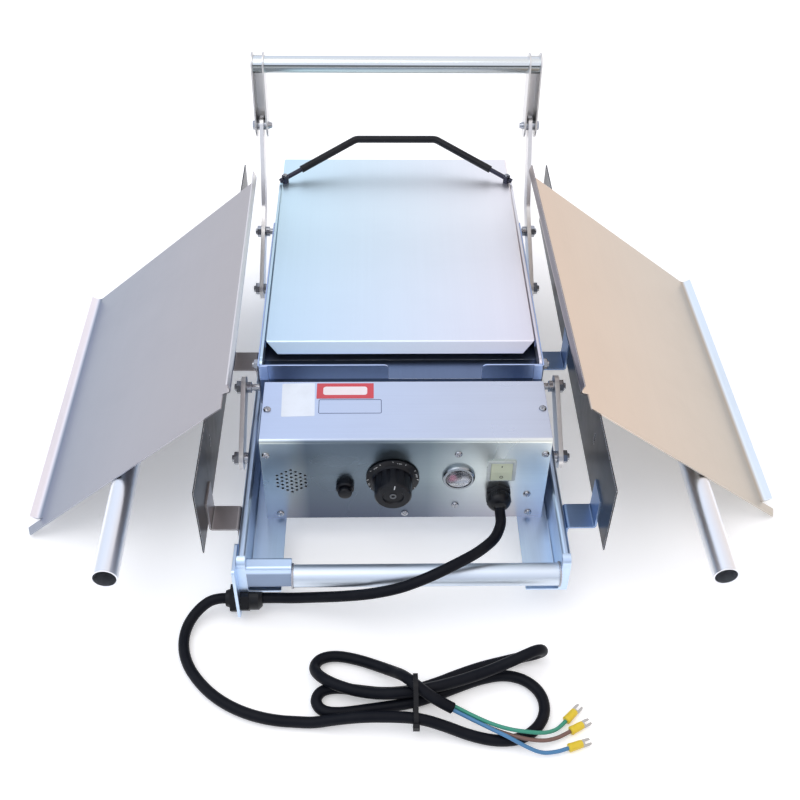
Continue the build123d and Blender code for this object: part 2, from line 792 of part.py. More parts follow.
# Supply lead held between the two glands: over the front bar and back under it
lead_start_y = box_front - box_gland_out
lead_points = [
    (gland_at[0], lead_start_y, gland_at[1]),
    (gland_at[0], lead_start_y - 17, gland_at[1]),
    (93, -245, 76.5),
    (74, -265, 79.5),
    (50, -280, 79.5),
    (24, -291, 74),
    (-4, -295.5, 62.5),
    (-34, -294, 51),
    (-64, -289, 40.5),
    (-92, -283, 31),
    (-114, -279, 24.5),
    (-rail_out + gland_body_long + 14, frame_gland_y, frame_gland_z),
    (-rail_out + gland_body_long, frame_gland_y, frame_gland_z),
]
box_lead = cord_along(lead_points, cord_size, "box_lead")
keep(box_lead, "box_lead")

# Free cord from the frame gland down to the ground and round to the hank
ground_z = cord_size / 2 + 0.2
cord_exit_x = -rail_out - plate_thick - gland_nut_long - gland_tail
hank_start = (-104, -407, ground_z)
free_points = [
    (cord_exit_x, frame_gland_y, frame_gland_z),
    (cord_exit_x - 11, frame_gland_y, frame_gland_z),
    (-205, -281, 16),
    (-217, -294, 9.5),
    (-221.5, -310, 6.2),
    (-220, -328, ground_z),
    (-213, -346, ground_z),
    (-201, -363, ground_z),
    (-185, -379, ground_z),
    (-165, -392, ground_z),
    (-143, -401, ground_z),
    (-121, -405.8, ground_z),
    hank_start,
]
cord_free = cord_along(free_points, cord_size, "cord_free")
keep(cord_free, "cord_free")

# The loosely tied hank: two bights to the left and two to the right, laid two and three strands high
layer_one = 17.4
layer_two = 30.0
hank_points = [
    hank_start,
    (-87, -408.2, ground_z),
    (-68, -408.9, 12.6),
    (-42, -409.2, layer_one + 0.4),
    (-14, -409.5, layer_one + 0.6),
    (12, -411, layer_one),
    (36, -416.5, 12.5),
    (60, -424, 7.2),
    (84, -429, ground_z),
    (106, -427.5, ground_z),
    (123, -417.5, ground_z),
    (133.5, -400, ground_z),
    (132, -380, ground_z),
    (119, -365, ground_z),
    (99, -358.5, ground_z),
    (76, -362, ground_z),
    (52, -371, ground_z),
    (29, -381, ground_z + 0.6),
    (6, -389.8, ground_z + 2.6),
    (-18, -392.6, ground_z + 0.8),
    (-42, -395.6, ground_z),
    (-64, -398.5, ground_z),
    (-80, -396.5, ground_z),
    (-87.5, -385.5, ground_z),
    (-82, -374, ground_z),
    (-67, -370.8, ground_z),
    (-46, -374, ground_z),
    (-22, -378, ground_z + 0.8),
    (4, -377.3, ground_z + 2.6),
    (28, -368.6, ground_z + 0.6),
    (52, -358, ground_z),
    (76, -349.2, ground_z),
    (98, -343.5, ground_z),
    (116, -339, ground_z),
    (130, -335.8, ground_z),
    (137.5, -340, 18.2),
    (130.5, -345.5, 30.4),
    (110, -353, 26.5),
    (85, -361.3, 20),
    (58, -370, layer_one + 0.2),
    (32, -378.2, layer_one + 1.0),
    (6, -384.5, layer_one + 2.4),
    (-20, -386.3, layer_one + 0.8),
    (-46, -382.5, layer_one),
    (-68, -375.4, 18.6),
    (-84, -363.9, 15.5),
    (-90, -350, 8.5),
    (-84, -338.5, ground_z + 0.4),
    (-68, -335, ground_z),
    (-46, -340, ground_z),
    (-27, -349, 8.5),
    (-12, -359, 14.5),
    (-2, -370.5, 26),
    (8, -383.5, layer_two + 2.4),
    (20, -391.5, 27.5),
    (31, -396, 21.5),
    (44, -400, 15.5),
]
cord_hank = cord_along(hank_points, cord_size, "cord_hank")
keep(cord_hank, "cord_hank")


def along(points, step):
    """Evenly spaced spots along a cord's centre line."""
    with BuildLine() as route:
        FilletPolyline(*points, radius=corner_radii(points))
    path = route.wires()[0]
    count = int(path.length / step)
    return [path @ (index / count) for index in range(count + 1)]


def least_gap(points, size):
    """Least free gap between parts of one tube that are more than a fold apart along it."""
    step = 2.0
    spots = along(points, step)
    skip = int(2.6 * size / step)
    apart = [(spot - other).length for index, spot in enumerate(spots) for other in spots[index + skip:]]
    return min(apart) - size


print("least gap of the hank to itself", round(least_gap(hank_points, cord_size), 2))

# Cable tie round the waist of the hank
tie_wide = 4.6
tie_thick = 1.1
tie_at_x = 9.0
tie_room = 0.8
buckle_wide = 6.4
buckle_high = 6.0
buckle_deep = 4.5
tie_reach = tie_wide / 2 + 2.5
tie_strands = [(spot.Y, spot.Z) for spot in along(hank_points, 1.5) if abs(spot.X - tie_at_x) < tie_reach]
tie_front_y = min(place[0] for place in tie_strands) - cord_size / 2 - tie_room
with BuildPart() as hank_tie:
    with BuildSketch(Plane.YZ.offset(tie_at_x - tie_wide / 2)):
        with Locations(*tie_strands):
            Circle(cord_size / 2 + tie_room + tie_thick)
        make_hull()
    extrude(amount=tie_wide)
    with BuildSketch(Plane.YZ.offset(tie_at_x - tie_wide / 2)):
        with Locations(*tie_strands):
            Circle(cord_size / 2 + tie_room)
        make_hull()
    extrude(amount=tie_wide, mode=Mode.SUBTRACT)
    with BuildSketch(Plane.XZ.offset(-tie_front_y + tie_thick / 2)):
        with Locations((tie_at_x, layer_one)):
            Rectangle(buckle_wide, buckle_high)
    extrude(amount=buckle_deep)
keep(hank_tie.part, "hank_tie")

# Three conductors out of the end of the cord, each with a crimped fork terminal
wire_size = 3.8
wire_spread = 2.5
wire_straight = 9.0
wire_routes = {
    "wire_earth": [(65, -406.8, 11.7), (80, -416.4, 14.8), (96, -424.6, 19.2), (113, -427.5, 19.5),
                   (128, -425.5, 13.5), (140, -419, 6.5), (147, -413, 4.6), (152, -408, 4.6)],
    "wire_live": [(65, -409, 8.0), (80, -419, 10.8), (96, -427.8, 15.0), (112, -432.2, 14.6),
                  (128, -431, 9), (141, -426, 4.8), (149, -422, 4.6), (155, -418.8, 4.6)],
    "wire_neutral": [(65, -411.5, 11.7), (80, -421.6, 14.4), (95, -431.4, 17.2), (110, -438.2, 12),
                     (125, -441.2, 5), (138, -439.8, 4.6), (145, -438, 4.6), (151, -436, 4.6)],
}
wire_turns = {"wire_earth": 210, "wire_live": 90, "wire_neutral": 330}
terminal_sleeve = 8.6
sleeve_long = 14.0
tongue_long = 9.0
jacket_end = Vector(*hank_points[-1])
jacket_way = (jacket_end - Vector(*hank_points[-2])).normalized()
jacket_face = Plane(origin=jacket_end, x_dir=jacket_way.cross(Vector(0, 0, 1)), z_dir=jacket_way)
for wire_name, wire_bends in wire_routes.items():
    turn = math.radians(wire_turns[wire_name])
    offset_in_face = Vector(wire_spread * math.cos(turn), wire_spread * math.sin(turn), 0)
    wire_start = jacket_face.from_local_coords(offset_in_face)
    wire_points = [tuple(wire_start), tuple(wire_start + jacket_way * wire_straight), *wire_bends]
    keep(cord_along(wire_points, wire_size, wire_name), wire_name)
    start = Vector(*wire_points[-1])
    ahead = (start - Vector(*wire_points[-2])).normalized()
    across = ahead.cross(Vector(0, 0, 1))
    with BuildPart() as terminal:
        with BuildSketch(Plane(origin=start, x_dir=across, z_dir=ahead)):
            Circle(terminal_sleeve / 2)
        extrude(amount=sleeve_long, taper=3)
        tongue_plane = Plane(origin=start + ahead * sleeve_long, x_dir=ahead, z_dir=(0, 0, 1)).offset(-0.5)
        with BuildSketch(tongue_plane):
            with Locations((tongue_long / 2, 0)):
                RectangleRounded(tongue_long, terminal_sleeve - 0.6, 1.5)
            with Locations((tongue_long - 2, 0)):
                SlotOverall(8, 3.6, mode=Mode.SUBTRACT)
        extrude(amount=1)
    keep(terminal.part, wire_name.replace("wire", "terminal"))

# Heated tray: two side walls, the folded front, and two plates with the element between them
tray_low_z = flange_z + tray_low
tray_high_z = flange_z + tray_high
tray_step_z = flange_z + tray_step_high
shelf_z = flange_z + tray_shelf
hinge_z = flange_z + lid_hinge_high
side_start_y = tray_front_y + tray_bend
side_mid_x = tray_out - tray_sheet / 2
tab_mid_y = tray_front_y - tray_sheet / 2
tab_path = [(side_mid_x, side_start_y), (side_mid_x, tab_mid_y), (tray_out - tray_tab, tab_mid_y)]
with BuildPart() as tray_side_right:
    with BuildSketch(Plane.YZ.offset(tray_in)):
        with BuildLine():
            Polyline(
                (side_start_y, tray_low_z),
                (tray_back_y, tray_low_z),
                (tray_back_y, tray_step_z),
                (tray_step_y, tray_step_z),
                (tray_step_y, tray_high_z),
                (side_start_y, tray_high_z),
                close=True,
            )
        make_face()
        fillet(vertices().group_by(Axis.Y)[1].sort_by(Axis.Z)[-1], 6)
        with Locations((lid_hinge_y, hinge_z)):
            Circle(lid_bolt / 2, mode=Mode.SUBTRACT)
    extrude(amount=tray_sheet)
    add(folded(Plane.XY.offset(tray_low_z), tab_path, tray_sheet, tray_bend, tray_high_z - tray_low_z))
keep(tray_side_right.part, "tray_side_right")
tray_side_left = mirrored(tray_side_right.part)
keep(tray_side_left, "tray_side_left")

cutout_right = cutout_left + cutout_width
tray_wall_plane = Plane(origin=(0, tray_front_y + tray_sheet, 0), x_dir=(1, 0, 0), z_dir=(0, -1, 0))
with BuildPart() as tray_front:
    with BuildSketch(tray_wall_plane):
        with Locations((0, (tray_low_z + tray_high_z) / 2)):
            Rectangle(2 * (tray_in - tray_bend), tray_high_z - tray_low_z)
        with BuildLine():
            Polyline(
                (cutout_left, tray_high_z + 1),
                (cutout_left, shelf_z - tray_sheet),
                (cutout_right, shelf_z - tray_sheet),
                (cutout_right, tray_high_z + 1),
                close=True,
            )
        make_face(mode=Mode.SUBTRACT)
    extrude(amount=tray_sheet)
    tab_corners = tray_front.edges().filter_by(Axis.Y).group_by(Axis.Z)[-1].sort_by(Axis.X)[1:3]
    fillet(tab_corners, cutout_round)
    with BuildSketch(Plane.XY.offset(shelf_z)):
        with Locations((0, (tray_front_y + tray_sheet + platen_front_y) / 2)):
            Rectangle(2 * tray_in, platen_front_y - tray_front_y - tray_sheet)
        with Locations(((cutout_left + cutout_right) / 2, tray_front_y + tray_sheet / 2)):
            Rectangle(cutout_right - cutout_left, tray_sheet)
    extrude(amount=-tray_sheet)
keep(tray_front.part, "tray_front")

platen_middle_y = (platen_front_y + platen_back_y) / 2
platen_long = platen_back_y - platen_front_y
lower_platen_top = tray_low_z + lower_platen_thick
with BuildPart() as lower_platen:
    with BuildSketch(Plane.XY.offset(tray_low_z)):
        with Locations((0, platen_middle_y)):
            Rectangle(2 * tray_in, platen_long)
    extrude(amount=lower_platen_thick)
    fillet(lower_platen.edges().filter_by(Axis.Z), 6)
keep(lower_platen.part, "lower_platen")

upper_platen_low = lower_platen_top + element_size + 2 * seat_gap
with BuildPart() as upper_platen:
    with BuildSketch(Plane.XY.offset(upper_platen_low)):
        with Locations((0, platen_middle_y)):
            Rectangle(2 * tray_in, platen_long)
    extrude(amount=shelf_z - upper_platen_low)
    fillet(upper_platen.edges().filter_by(Axis.Z), 6)
keep(upper_platen.part, "upper_platen")

element_z = lower_platen_top + seat_gap + element_size / 2
element_path = []
for run in range(element_runs):
    run_x = (run - (element_runs - 1) / 2) * element_pitch
    run_ends = [platen_front_y + element_margin, platen_back_y - element_margin]
    if run % 2:
        run_ends.reverse()
    for run_end in run_ends:
        element_path.append((run_x, run_end, element_z))
with BuildPart() as heating_element:
    with BuildLine() as element_route:
        FilletPolyline(*element_path, radius=element_pitch * 0.45)
    element_wire = element_route.wires()[0]
    with BuildSketch(Plane(origin=element_wire @ 0, z_dir=element_wire % 0)):
        Circle(element_size / 2)
    sweep(path=element_wire)
keep(heating_element.part, "heating_element")

# Lid pan: chamfered front flange, side skirts, open at the back where a paddle goes in
lid_top = flange_z + lid_high
flap_slope = math.radians(lid_flap_slope)
flap_ahead = lid_flap * math.sin(flap_slope)
flap_drop = lid_flap * math.cos(flap_slope)
flap_half = lid_half - lid_bend
flap_path = [
    (lid_front_y + 2 * lid_bend, lid_top - lid_sheet / 2),
    (lid_front_y, lid_top - lid_sheet / 2),
    (lid_front_y - flap_ahead, lid_top - lid_sheet / 2 - flap_drop),
]
with BuildPart() as flap:
    add(folded(Plane.YZ.offset(-flap_half), flap_path, lid_sheet, lid_bend, 2 * flap_half))
    with BuildSketch(Plane.XZ):
        with BuildLine():
            Polyline(
                (-flap_half, lid_top),
                (flap_half, lid_top),
                (lid_half - lid_chamfer, lid_top - flap_drop - lid_sheet),
                (-lid_half + lid_chamfer, lid_top - flap_drop - lid_sheet),
                close=True,
            )
        make_face()
    extrude(amount=2 * lid_back_y, both=True, mode=Mode.INTERSECT)
with BuildPart() as lid_pan:
    with BuildSketch(Plane.XZ.offset(-lid_back_y)):
        with BuildLine():
            FilletPolyline(
                (-lid_half + lid_sheet / 2, lid_top - lid_skirt),
                (-lid_half + lid_sheet / 2, lid_top - lid_sheet / 2),
                (lid_half - lid_sheet / 2, lid_top - lid_sheet / 2),
                (lid_half - lid_sheet / 2, lid_top - lid_skirt),
                radius=lid_bend,
            )
        trace(line_width=lid_sheet)
    extrude(amount=lid_back_y - lid_front_y - lid_bend)
    add(flap.part)
keep(lid_pan.part, "lid_pan")

# Flat arms on edge that carry the lid back from its hinge bolts
with BuildPart() as lid_arm_right:
    with BuildSketch(Plane.YZ.offset(lid_half)):
        with BuildLine():
            Polyline(
                (lid_hinge_y, hinge_z - lid_arm_wide / 2),
                (lid_arm_back, hinge_z - lid_arm_wide / 2),
                (lid_arm_back, hinge_z + lid_arm_wide / 2),
                (lid_hinge_y, hinge_z + lid_arm_wide / 2),
                close=True,
            )
        make_face()
        fillet(vertices().group_by(Axis.Y)[-1], 5)
        with Locations((lid_hinge_y, hinge_z)):
            Circle(lid_arm_wide / 2)
            Circle(lid_bolt / 2 + pivot_fit, mode=Mode.SUBTRACT)
    extrude(amount=lid_arm_thick)
keep(lid_arm_right.part, "lid_arm_right")
lid_arm_left = mirrored(lid_arm_right.part)
keep(lid_arm_left, "lid_arm_left")

# Hinge bolts of the lid, fixed in the tray walls, with their nuts outside
with BuildPart() as lid_bolt_right:
    with BuildSketch(Plane.YZ.offset(lid_half)):
        with Locations((lid_hinge_y, hinge_z)):
            Circle(lid_bolt / 2)
    extrude(amount=tray_out - lid_half)
    with BuildSketch(Plane.YZ.offset(tray_out)):
        with Locations((lid_hinge_y, hinge_z)):
            RegularPolygon(lid_nut / 2, 6, major_radius=False)
    extrude(amount=lid_nut_thick)
    with BuildSketch(Plane.YZ.offset(tray_out + lid_nut_thick)):
        with Locations((lid_hinge_y, hinge_z)):
            Circle(lid_bolt / 2)
    extrude(amount=lid_bolt_past)
keep(both_sides(lid_bolt_right.part), "lid_bolts")

# Lid handle: a bent rod through two bosses on the lid, tilted up and back, with a black sleeve on it
handle_end_y = lid_back_y - handle_from_back
handle_end_z = lid_top + handle_above + handle_rod / 2
handle_end_x = lid_half + handle_past
handle_top_half = handle_end_x - handle_shoulder
tilt = math.radians(handle_tilt)


def on_handle(x, reach):
    """A point in the tilted plane of the lid handle."""
    return (x, handle_end_y + reach * math.cos(tilt), handle_end_z + reach * math.sin(tilt))


rod_points = [
    on_handle(-handle_end_x, 0),
    on_handle(-handle_top_half, handle_reach),
    on_handle(handle_top_half, handle_reach),
    on_handle(handle_end_x, 0),
]
boss_x = lid_half - handle_boss_inset
boss_spot = on_handle(boss_x, handle_reach * (handle_end_x - boss_x) / handle_shoulder)
with BuildPart() as lid_handle:
    with BuildLine() as rod_route:
        FilletPolyline(*rod_points, radius=handle_bend)
    rod_wire = rod_route.wires()[0]
    with BuildSketch(Plane(origin=rod_wire @ 0, z_dir=rod_wire % 0)):
        Circle(handle_rod / 2)
    sweep(path=rod_wire)
    with BuildSketch(Plane.XY.offset(lid_top)):
        with Locations((-boss_x, boss_spot[1]), (boss_x, boss_spot[1])):
            Circle(handle_boss / 2)
    extrude(amount=boss_spot[2] + handle_rod / 2 + handle_boss_past - lid_top)
keep(lid_handle.part, "lid_handle")

sleeve_half = handle_end_x - sleeve_share * handle_shoulder
sleeve_points = [
    on_handle(-sleeve_half, sleeve_share * handle_reach),
    on_handle(-handle_top_half, handle_reach),
    on_handle(handle_top_half, handle_reach),
    on_handle(sleeve_half, sleeve_share * handle_reach),
]
with BuildPart() as handle_sleeve:
    with BuildLine() as sleeve_route:
        FilletPolyline(*sleeve_points, radius=handle_bend)
    sleeve_wire = sleeve_route.wires()[0]
    with BuildSketch(Plane(origin=sleeve_wire @ 0, z_dir=sleeve_wire % 0)):
        Circle(handle_sleeve_size / 2)
        Circle(handle_rod / 2 + shaft_fit, mode=Mode.SUBTRACT)
    sweep(path=sleeve_wire)
keep(handle_sleeve.part, "handle_sleeve")


# Pivot studs of the frame: welded in the outer wall, with a spacer nut and an outer nut
def pivot_stud(start_x, places):
    """Studs at the places, running outwards from start_x through the links to their end nuts."""
    with BuildPart() as studs:
        with BuildSketch(Plane.YZ.offset(start_x)):
            with Locations(*places):
                Circle(stud_size / 2)
        extrude(amount=stud_end - start_x)
        with BuildSketch(Plane.YZ.offset(max(start_x, rail_out))):
            with Locations(*places):
                Circle(nut_size / 2)
        extrude(amount=link_in - running_gap - max(start_x, rail_out))
        with BuildSketch(Plane.YZ.offset(link_out + running_gap)):
            with Locations(*places):
                RegularPolygon(nut_size / 2, 6, major_radius=False)
        extrude(amount=nut_long)
    return studs.part


frame_places = [(link_front_y, pivot_z), (link_rear_y, pivot_z)]
tray_places = [(front_tray_pivot_y, tray_pivot_z), (rear_tray_pivot_y, tray_pivot_z)]
keep(both_sides(pivot_stud(rail_out - frame_sheet, frame_places)), "frame_pivots")
tray_studs = pivot_stud(tray_out, [(place[0], place[1]) for place in tray_places])
keep(both_sides(tray_studs), "tray_pivots")

# Front links: flat bars on edge, with a looser hole where the linkage closes on the tray
with BuildPart() as front_link:
    with BuildSketch(Plane.YZ.offset(link_in)):
        with BuildLine():
            Line(frame_places[0], tray_places[0])
        trace(line_width=link_width)
        with Locations(frame_places[0], tray_places[0]):
            Circle(link_width / 2)
        with Locations(frame_places[0]):
            Circle(stud_size / 2 + pivot_fit, mode=Mode.SUBTRACT)
        with Locations(tray_places[0]):
            Circle(stud_size / 2 + open_fit, mode=Mode.SUBTRACT)
    extrude(amount=link_thick)
keep(both_sides(front_link.part), "front_links")

# Levers: the same bar runs on past the tray pivot, bends up at the knee and ends at the yoke bolt
knee = (link_rear_y + knee_y, pivot_z + knee_z)
lever_top = (link_rear_y + lever_top_y, pivot_z + lever_top_z)
with BuildPart() as lever_right:
    with BuildSketch(Plane.YZ.offset(link_in)):
        with BuildLine():
            FilletPolyline(frame_places[1], tray_places[1], knee, lever_top, radius=[60, knee_radius])
        trace(line_width=link_width)
        with Locations(frame_places[1], lever_top):
            Circle(link_width / 2)
        with Locations(frame_places[1], tray_places[1]):
            Circle(stud_size / 2 + pivot_fit, mode=Mode.SUBTRACT)
        with Locations(lever_top):
            Circle(yoke_bolt / 2, mode=Mode.SUBTRACT)
    extrude(amount=link_thick)
keep(lever_right.part, "lever_right")
lever_left = mirrored(lever_right.part)
keep(lever_left, "lever_left")

# Yoke arms: folded channels open to the front, from the lever bolts up to the grip tube
grip_place = (link_rear_y + grip_y, pivot_z + grip_z)
yoke_in = link_mid - yoke_width / 2
yoke_half = link_width / 2 + yoke_clear + yoke_sheet
arm_run = Vector(grip_place[0] - lever_top[0], grip_place[1] - lever_top[1])
arm_angle = math.degrees(math.atan2(arm_run.Y, arm_run.X))
yoke_plane = Plane(
    origin=(yoke_in, lever_top[0], lever_top[1]),
    x_dir=(0, math.cos(math.radians(arm_angle)), math.sin(math.radians(arm_angle))),
    z_dir=(1, 0, 0),
)
with BuildPart() as yoke_arm:
    with BuildSketch(yoke_plane):
        with Locations((arm_run.length / 2, 0)):
            SlotOverall(arm_run.length + 2 * yoke_half, 2 * yoke_half)
    extrude(amount=yoke_width)
    with BuildSketch(yoke_plane.offset(yoke_sheet)):
        with Locations((arm_run.length / 2, yoke_sheet)):
            Rectangle(arm_run.length + 4 * yoke_half, 2 * yoke_half)
    extrude(amount=yoke_width - 2 * yoke_sheet, mode=Mode.SUBTRACT)
    with BuildSketch(yoke_plane):
        Circle(yoke_bolt / 2)
        with Locations((arm_run.length, 0)):
            Circle(grip_size / 2)
    extrude(amount=yoke_width, mode=Mode.SUBTRACT)
keep(both_sides(yoke_arm.part), "yoke_arms")

# Grip tube through both yoke arms
grip_half = yoke_in + yoke_width
with BuildPart() as grip_tube:
    with BuildSketch(Plane.YZ.offset(-grip_half)):
        with Locations(grip_place):
            Circle(grip_size / 2)
            Circle(grip_size / 2 - grip_wall, mode=Mode.SUBTRACT)
    extrude(amount=2 * grip_half)
keep(grip_tube.part, "grip_tube")

# Bolts that clamp the yoke on the levers: domed nuts inside, hexagon heads outside, spacers between
with BuildPart() as yoke_bolt_right:
    with BuildSketch(Plane.YZ.offset(yoke_in - yoke_nut_thick / 2)):
        with Locations(lever_top):
            Circle(yoke_bolt / 2)
    extrude(amount=yoke_width + (yoke_nut_thick + yoke_head_thick) / 2)
    with BuildSketch(Plane.YZ.offset(yoke_in)):
        with Locations(lever_top):
            Circle(yoke_nut / 2)
    extrude(amount=-yoke_nut_thick, taper=20)
    with BuildSketch(Plane.YZ.offset(yoke_in + yoke_width)):
        with Locations(lever_top):
            RegularPolygon(yoke_nut / 2, 6, major_radius=False)
    extrude(amount=yoke_head_thick)
    yoke_out = yoke_in + yoke_width
    for spacer_start, spacer_end in ((yoke_in + yoke_sheet, link_in), (link_out, yoke_out - yoke_sheet)):
        with BuildSketch(Plane.YZ.offset(spacer_start)):
            with Locations(lever_top):
                Circle(yoke_spacer / 2)
        extrude(amount=spacer_end - spacer_start)
keep(both_sides(yoke_bolt_right.part), "yoke_bolts")


def leaning_plane(side, over, turn, front_y):
    """The plane of a paddle's underside, leant on a panel top with its lowest corner on the ground."""
    turn_cos = math.cos(math.radians(turn))
    turn_sin = math.sin(math.radians(turn))
    strip_corner = (paddle_width + strip_past_back) * turn_cos + (paddle_strip - paddle_slit) * turn_sin
    panel_top = flange_z + panel_high + lean_gap
    lean = math.asin(panel_top / (strip_corner - over))
    down = Vector(side * math.cos(lean), 0, -math.sin(lean))
    back = Vector(0, 1, 0)
    corner = Vector(side * (panel_in + panel_sheet), front_y, panel_top) - down * over
    width_way = down * turn_cos - back * turn_sin
    up = Vector(side * math.sin(lean), 0, math.cos(lean))
    return Plane(origin=corner, x_dir=width_way, z_dir=up)


def paddle(plane, back_way):
    """A paddle: a sheet with a lip folded up along both sides, and a flat strip along its front edge.

    The strip keeps the width that the outer lip has before it is folded, and the inner corner is cut off.
    """
    lip = math.radians(paddle_lip_angle)
    rise = paddle_lip * math.sin(lip)
    run = paddle_lip * math.cos(lip)
    half = paddle_sheet / 2
    profile = [
        (half, half + rise),
        (half + run, half),
        (paddle_width - half - run, half),
        (paddle_width - half, half + rise),
    ]
    flat_edge = paddle_width - half - run - paddle_bend * math.tan(lip / 2)
    strip_end = paddle_strip - paddle_slit
    cross = Plane(origin=plane.origin, x_dir=plane.x_dir, z_dir=-plane.y_dir)
    with BuildPart() as sheet:
        add(folded(cross, profile, paddle_sheet, paddle_bend, -back_way * paddle_length))
        with BuildSketch(plane):
            with Locations(((flat_edge + paddle_width + 1) / 2, back_way * (paddle_strip - 1) / 2)):
                Rectangle(paddle_width + 1 - flat_edge, paddle_strip + 1)
            with BuildLine():
                Polyline(
                    (-1, -back_way),
                    (corner_cut, -back_way),
                    (corner_cut, back_way * corner_cut_deep),
                    (-1, back_way * corner_cut_side),
                    close=True,
                )
            make_face()
        extrude(amount=rise + paddle_sheet + 1, mode=Mode.SUBTRACT)
        with BuildSketch(plane):
            with BuildLine():
                Polyline(
                    (flat_edge - 1, 0),
                    (paddle_width + strip_past, 0),
                    (paddle_width + strip_past_back, back_way * strip_end),
                    (flat_edge - 1, back_way * strip_end),
                    close=True,
                )
            make_face()
        extrude(amount=paddle_sheet)
    return sheet.part


def paddle_tube(plane, back_way, off):
    """The tube handle under the front edge, off the middle by the given distance."""
    tube_plane = Plane(
        origin=plane.origin + plane.x_dir * (paddle_width / 2 + off) - plane.z_dir * (paddle_handle / 2),
        x_dir=plane.x_dir,
        z_dir=-plane.y_dir * back_way,
    ).offset(-paddle_handle_under)
    with BuildPart() as tube:
        with BuildSketch(tube_plane):
            Circle(paddle_handle / 2)
            Circle(paddle_handle / 2 - paddle_handle_wall, mode=Mode.SUBTRACT)
        extrude(amount=paddle_handle_under + paddle_handle_out)
    return tube.part


right_plane = leaning_plane(1, right_over, right_turn, right_front)
left_plane = leaning_plane(-1, left_over, left_turn, left_front)
keep(paddle(right_plane, 1), "paddle_right")
keep(paddle_tube(right_plane, 1, right_handle_off), "paddle_tube_right")
keep(paddle(left_plane, -1), "paddle_left")
keep(paddle_tube(left_plane, -1, left_handle_off), "paddle_tube_left")
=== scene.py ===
import bpy
import bmesh
import math
from mathutils import Matrix, Vector


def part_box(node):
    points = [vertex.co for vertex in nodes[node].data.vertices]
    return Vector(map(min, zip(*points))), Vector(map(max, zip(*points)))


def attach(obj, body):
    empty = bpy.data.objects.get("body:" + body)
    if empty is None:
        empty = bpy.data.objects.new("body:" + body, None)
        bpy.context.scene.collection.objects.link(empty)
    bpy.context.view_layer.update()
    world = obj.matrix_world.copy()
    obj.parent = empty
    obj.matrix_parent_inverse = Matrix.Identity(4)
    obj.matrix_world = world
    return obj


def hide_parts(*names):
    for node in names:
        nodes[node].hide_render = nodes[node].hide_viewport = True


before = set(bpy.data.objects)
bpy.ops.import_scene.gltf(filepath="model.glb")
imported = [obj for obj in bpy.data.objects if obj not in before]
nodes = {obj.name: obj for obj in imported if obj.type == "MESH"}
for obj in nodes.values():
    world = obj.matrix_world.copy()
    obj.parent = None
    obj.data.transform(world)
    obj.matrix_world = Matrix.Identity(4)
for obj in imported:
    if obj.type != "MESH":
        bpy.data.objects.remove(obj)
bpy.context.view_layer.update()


# The camera of the photograph: a hand held above the control box end, looking down along the grill,
# turned and rolled by about a degree.
camera_data = bpy.data.cameras.new("photo_camera")
camera_data.lens = 48.1
camera_data.sensor_width = 36.0
camera = bpy.data.objects.new("photo_camera", camera_data)
bpy.context.scene.collection.objects.link(camera)
yaw, pitch, roll = 0.030, 0.768, 0.017
ahead = Vector((math.sin(yaw) * math.cos(pitch), math.cos(yaw) * math.cos(pitch), -math.sin(pitch)))
level = Vector((math.cos(yaw), -math.sin(yaw), 0))
upward = level.cross(ahead)
camera_right = level * math.cos(roll) + upward * math.sin(roll)
camera_up = upward * math.cos(roll) - level * math.sin(roll)
turned = Matrix((camera_right, camera_up, -ahead)).transposed().to_4x4()
camera_place = (-0.03148, -0.94914, 0.927)
camera.matrix_world = Matrix.Translation(camera_place) @ turned
bpy.context.scene.camera = camera
bpy.context.scene.view_settings.view_transform = "Standard"


# The floor is a plain white sheet of board. What the camera, metal and clear plastic see of it is lifted a
# little towards white, and it still takes the machine's shadow.
def new_material(name):
    """Start a material. It is given back with its tree and its main shader."""
    material = bpy.data.materials.new(name)
    material.use_nodes = True
    return material, material.node_tree, material.node_tree.nodes["Principled BSDF"]


def step(tree, kind, inputs=None, **settings):
    """Add one shader node. An input takes a plain value or the output of another node."""
    made = tree.nodes.new("ShaderNode" + kind)
    for key, value in settings.items():
        setattr(made, key, value)
    for key, value in (inputs or {}).items():
        if isinstance(value, bpy.types.NodeSocket):
            tree.links.new(value, made.inputs[key])
        else:
            made.inputs[key].default_value = value
    return made


def mixed(tree, factor, low, high, kind="MIX"):
    """The colour between two colours, or their product."""
    return step(tree, "Mix", {0: factor, 6: low, 7: high}, data_type="RGBA", blend_type=kind).outputs[2]


def ramp(tree, factor, stops):
    """Colours along a factor, given as places and colours."""
    made = step(tree, "ValToRGB", {0: factor})
    elements = made.color_ramp.elements
    while len(elements) < len(stops):
        elements.new(0.5)
    for element, (place, colour) in zip(elements, stops):
        element.position = place
        element.color = (*colour, 1)
    return made.outputs[0]


def spread(tree, value, low, high, to_low, to_high):
    """Carry a value from one range into another."""
    made = step(tree, "MapRange", {"Value": value, "From Min": low, "From Max": high,
                                   "To Min": to_low, "To Max": to_high})
    return made.outputs[0]


def new_piece(name, mesh, material=None, body="frame"):
    """Make an object of a finished bmesh, with its outside faces out, riding on a body."""
    bmesh.ops.remove_doubles(mesh, verts=mesh.verts, dist=1e-6)
    bmesh.ops.recalc_face_normals(mesh, faces=mesh.faces)
    data = bpy.data.meshes.new(name)
    mesh.to_mesh(data)
    mesh.free()
    piece = bpy.data.objects.new(name, data)
    bpy.context.scene.collection.objects.link(piece)
    if material:
        data.materials.append(material)
    if body:
        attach(piece, body)
    return piece


def dress(material, *names):
    """Give a finish to CAD nodes or to pieces of this file."""
    for name in names:
        thing = nodes[name] if name in nodes else bpy.data.objects[name]
        thing.data.materials.clear()
        thing.data.materials.append(material)


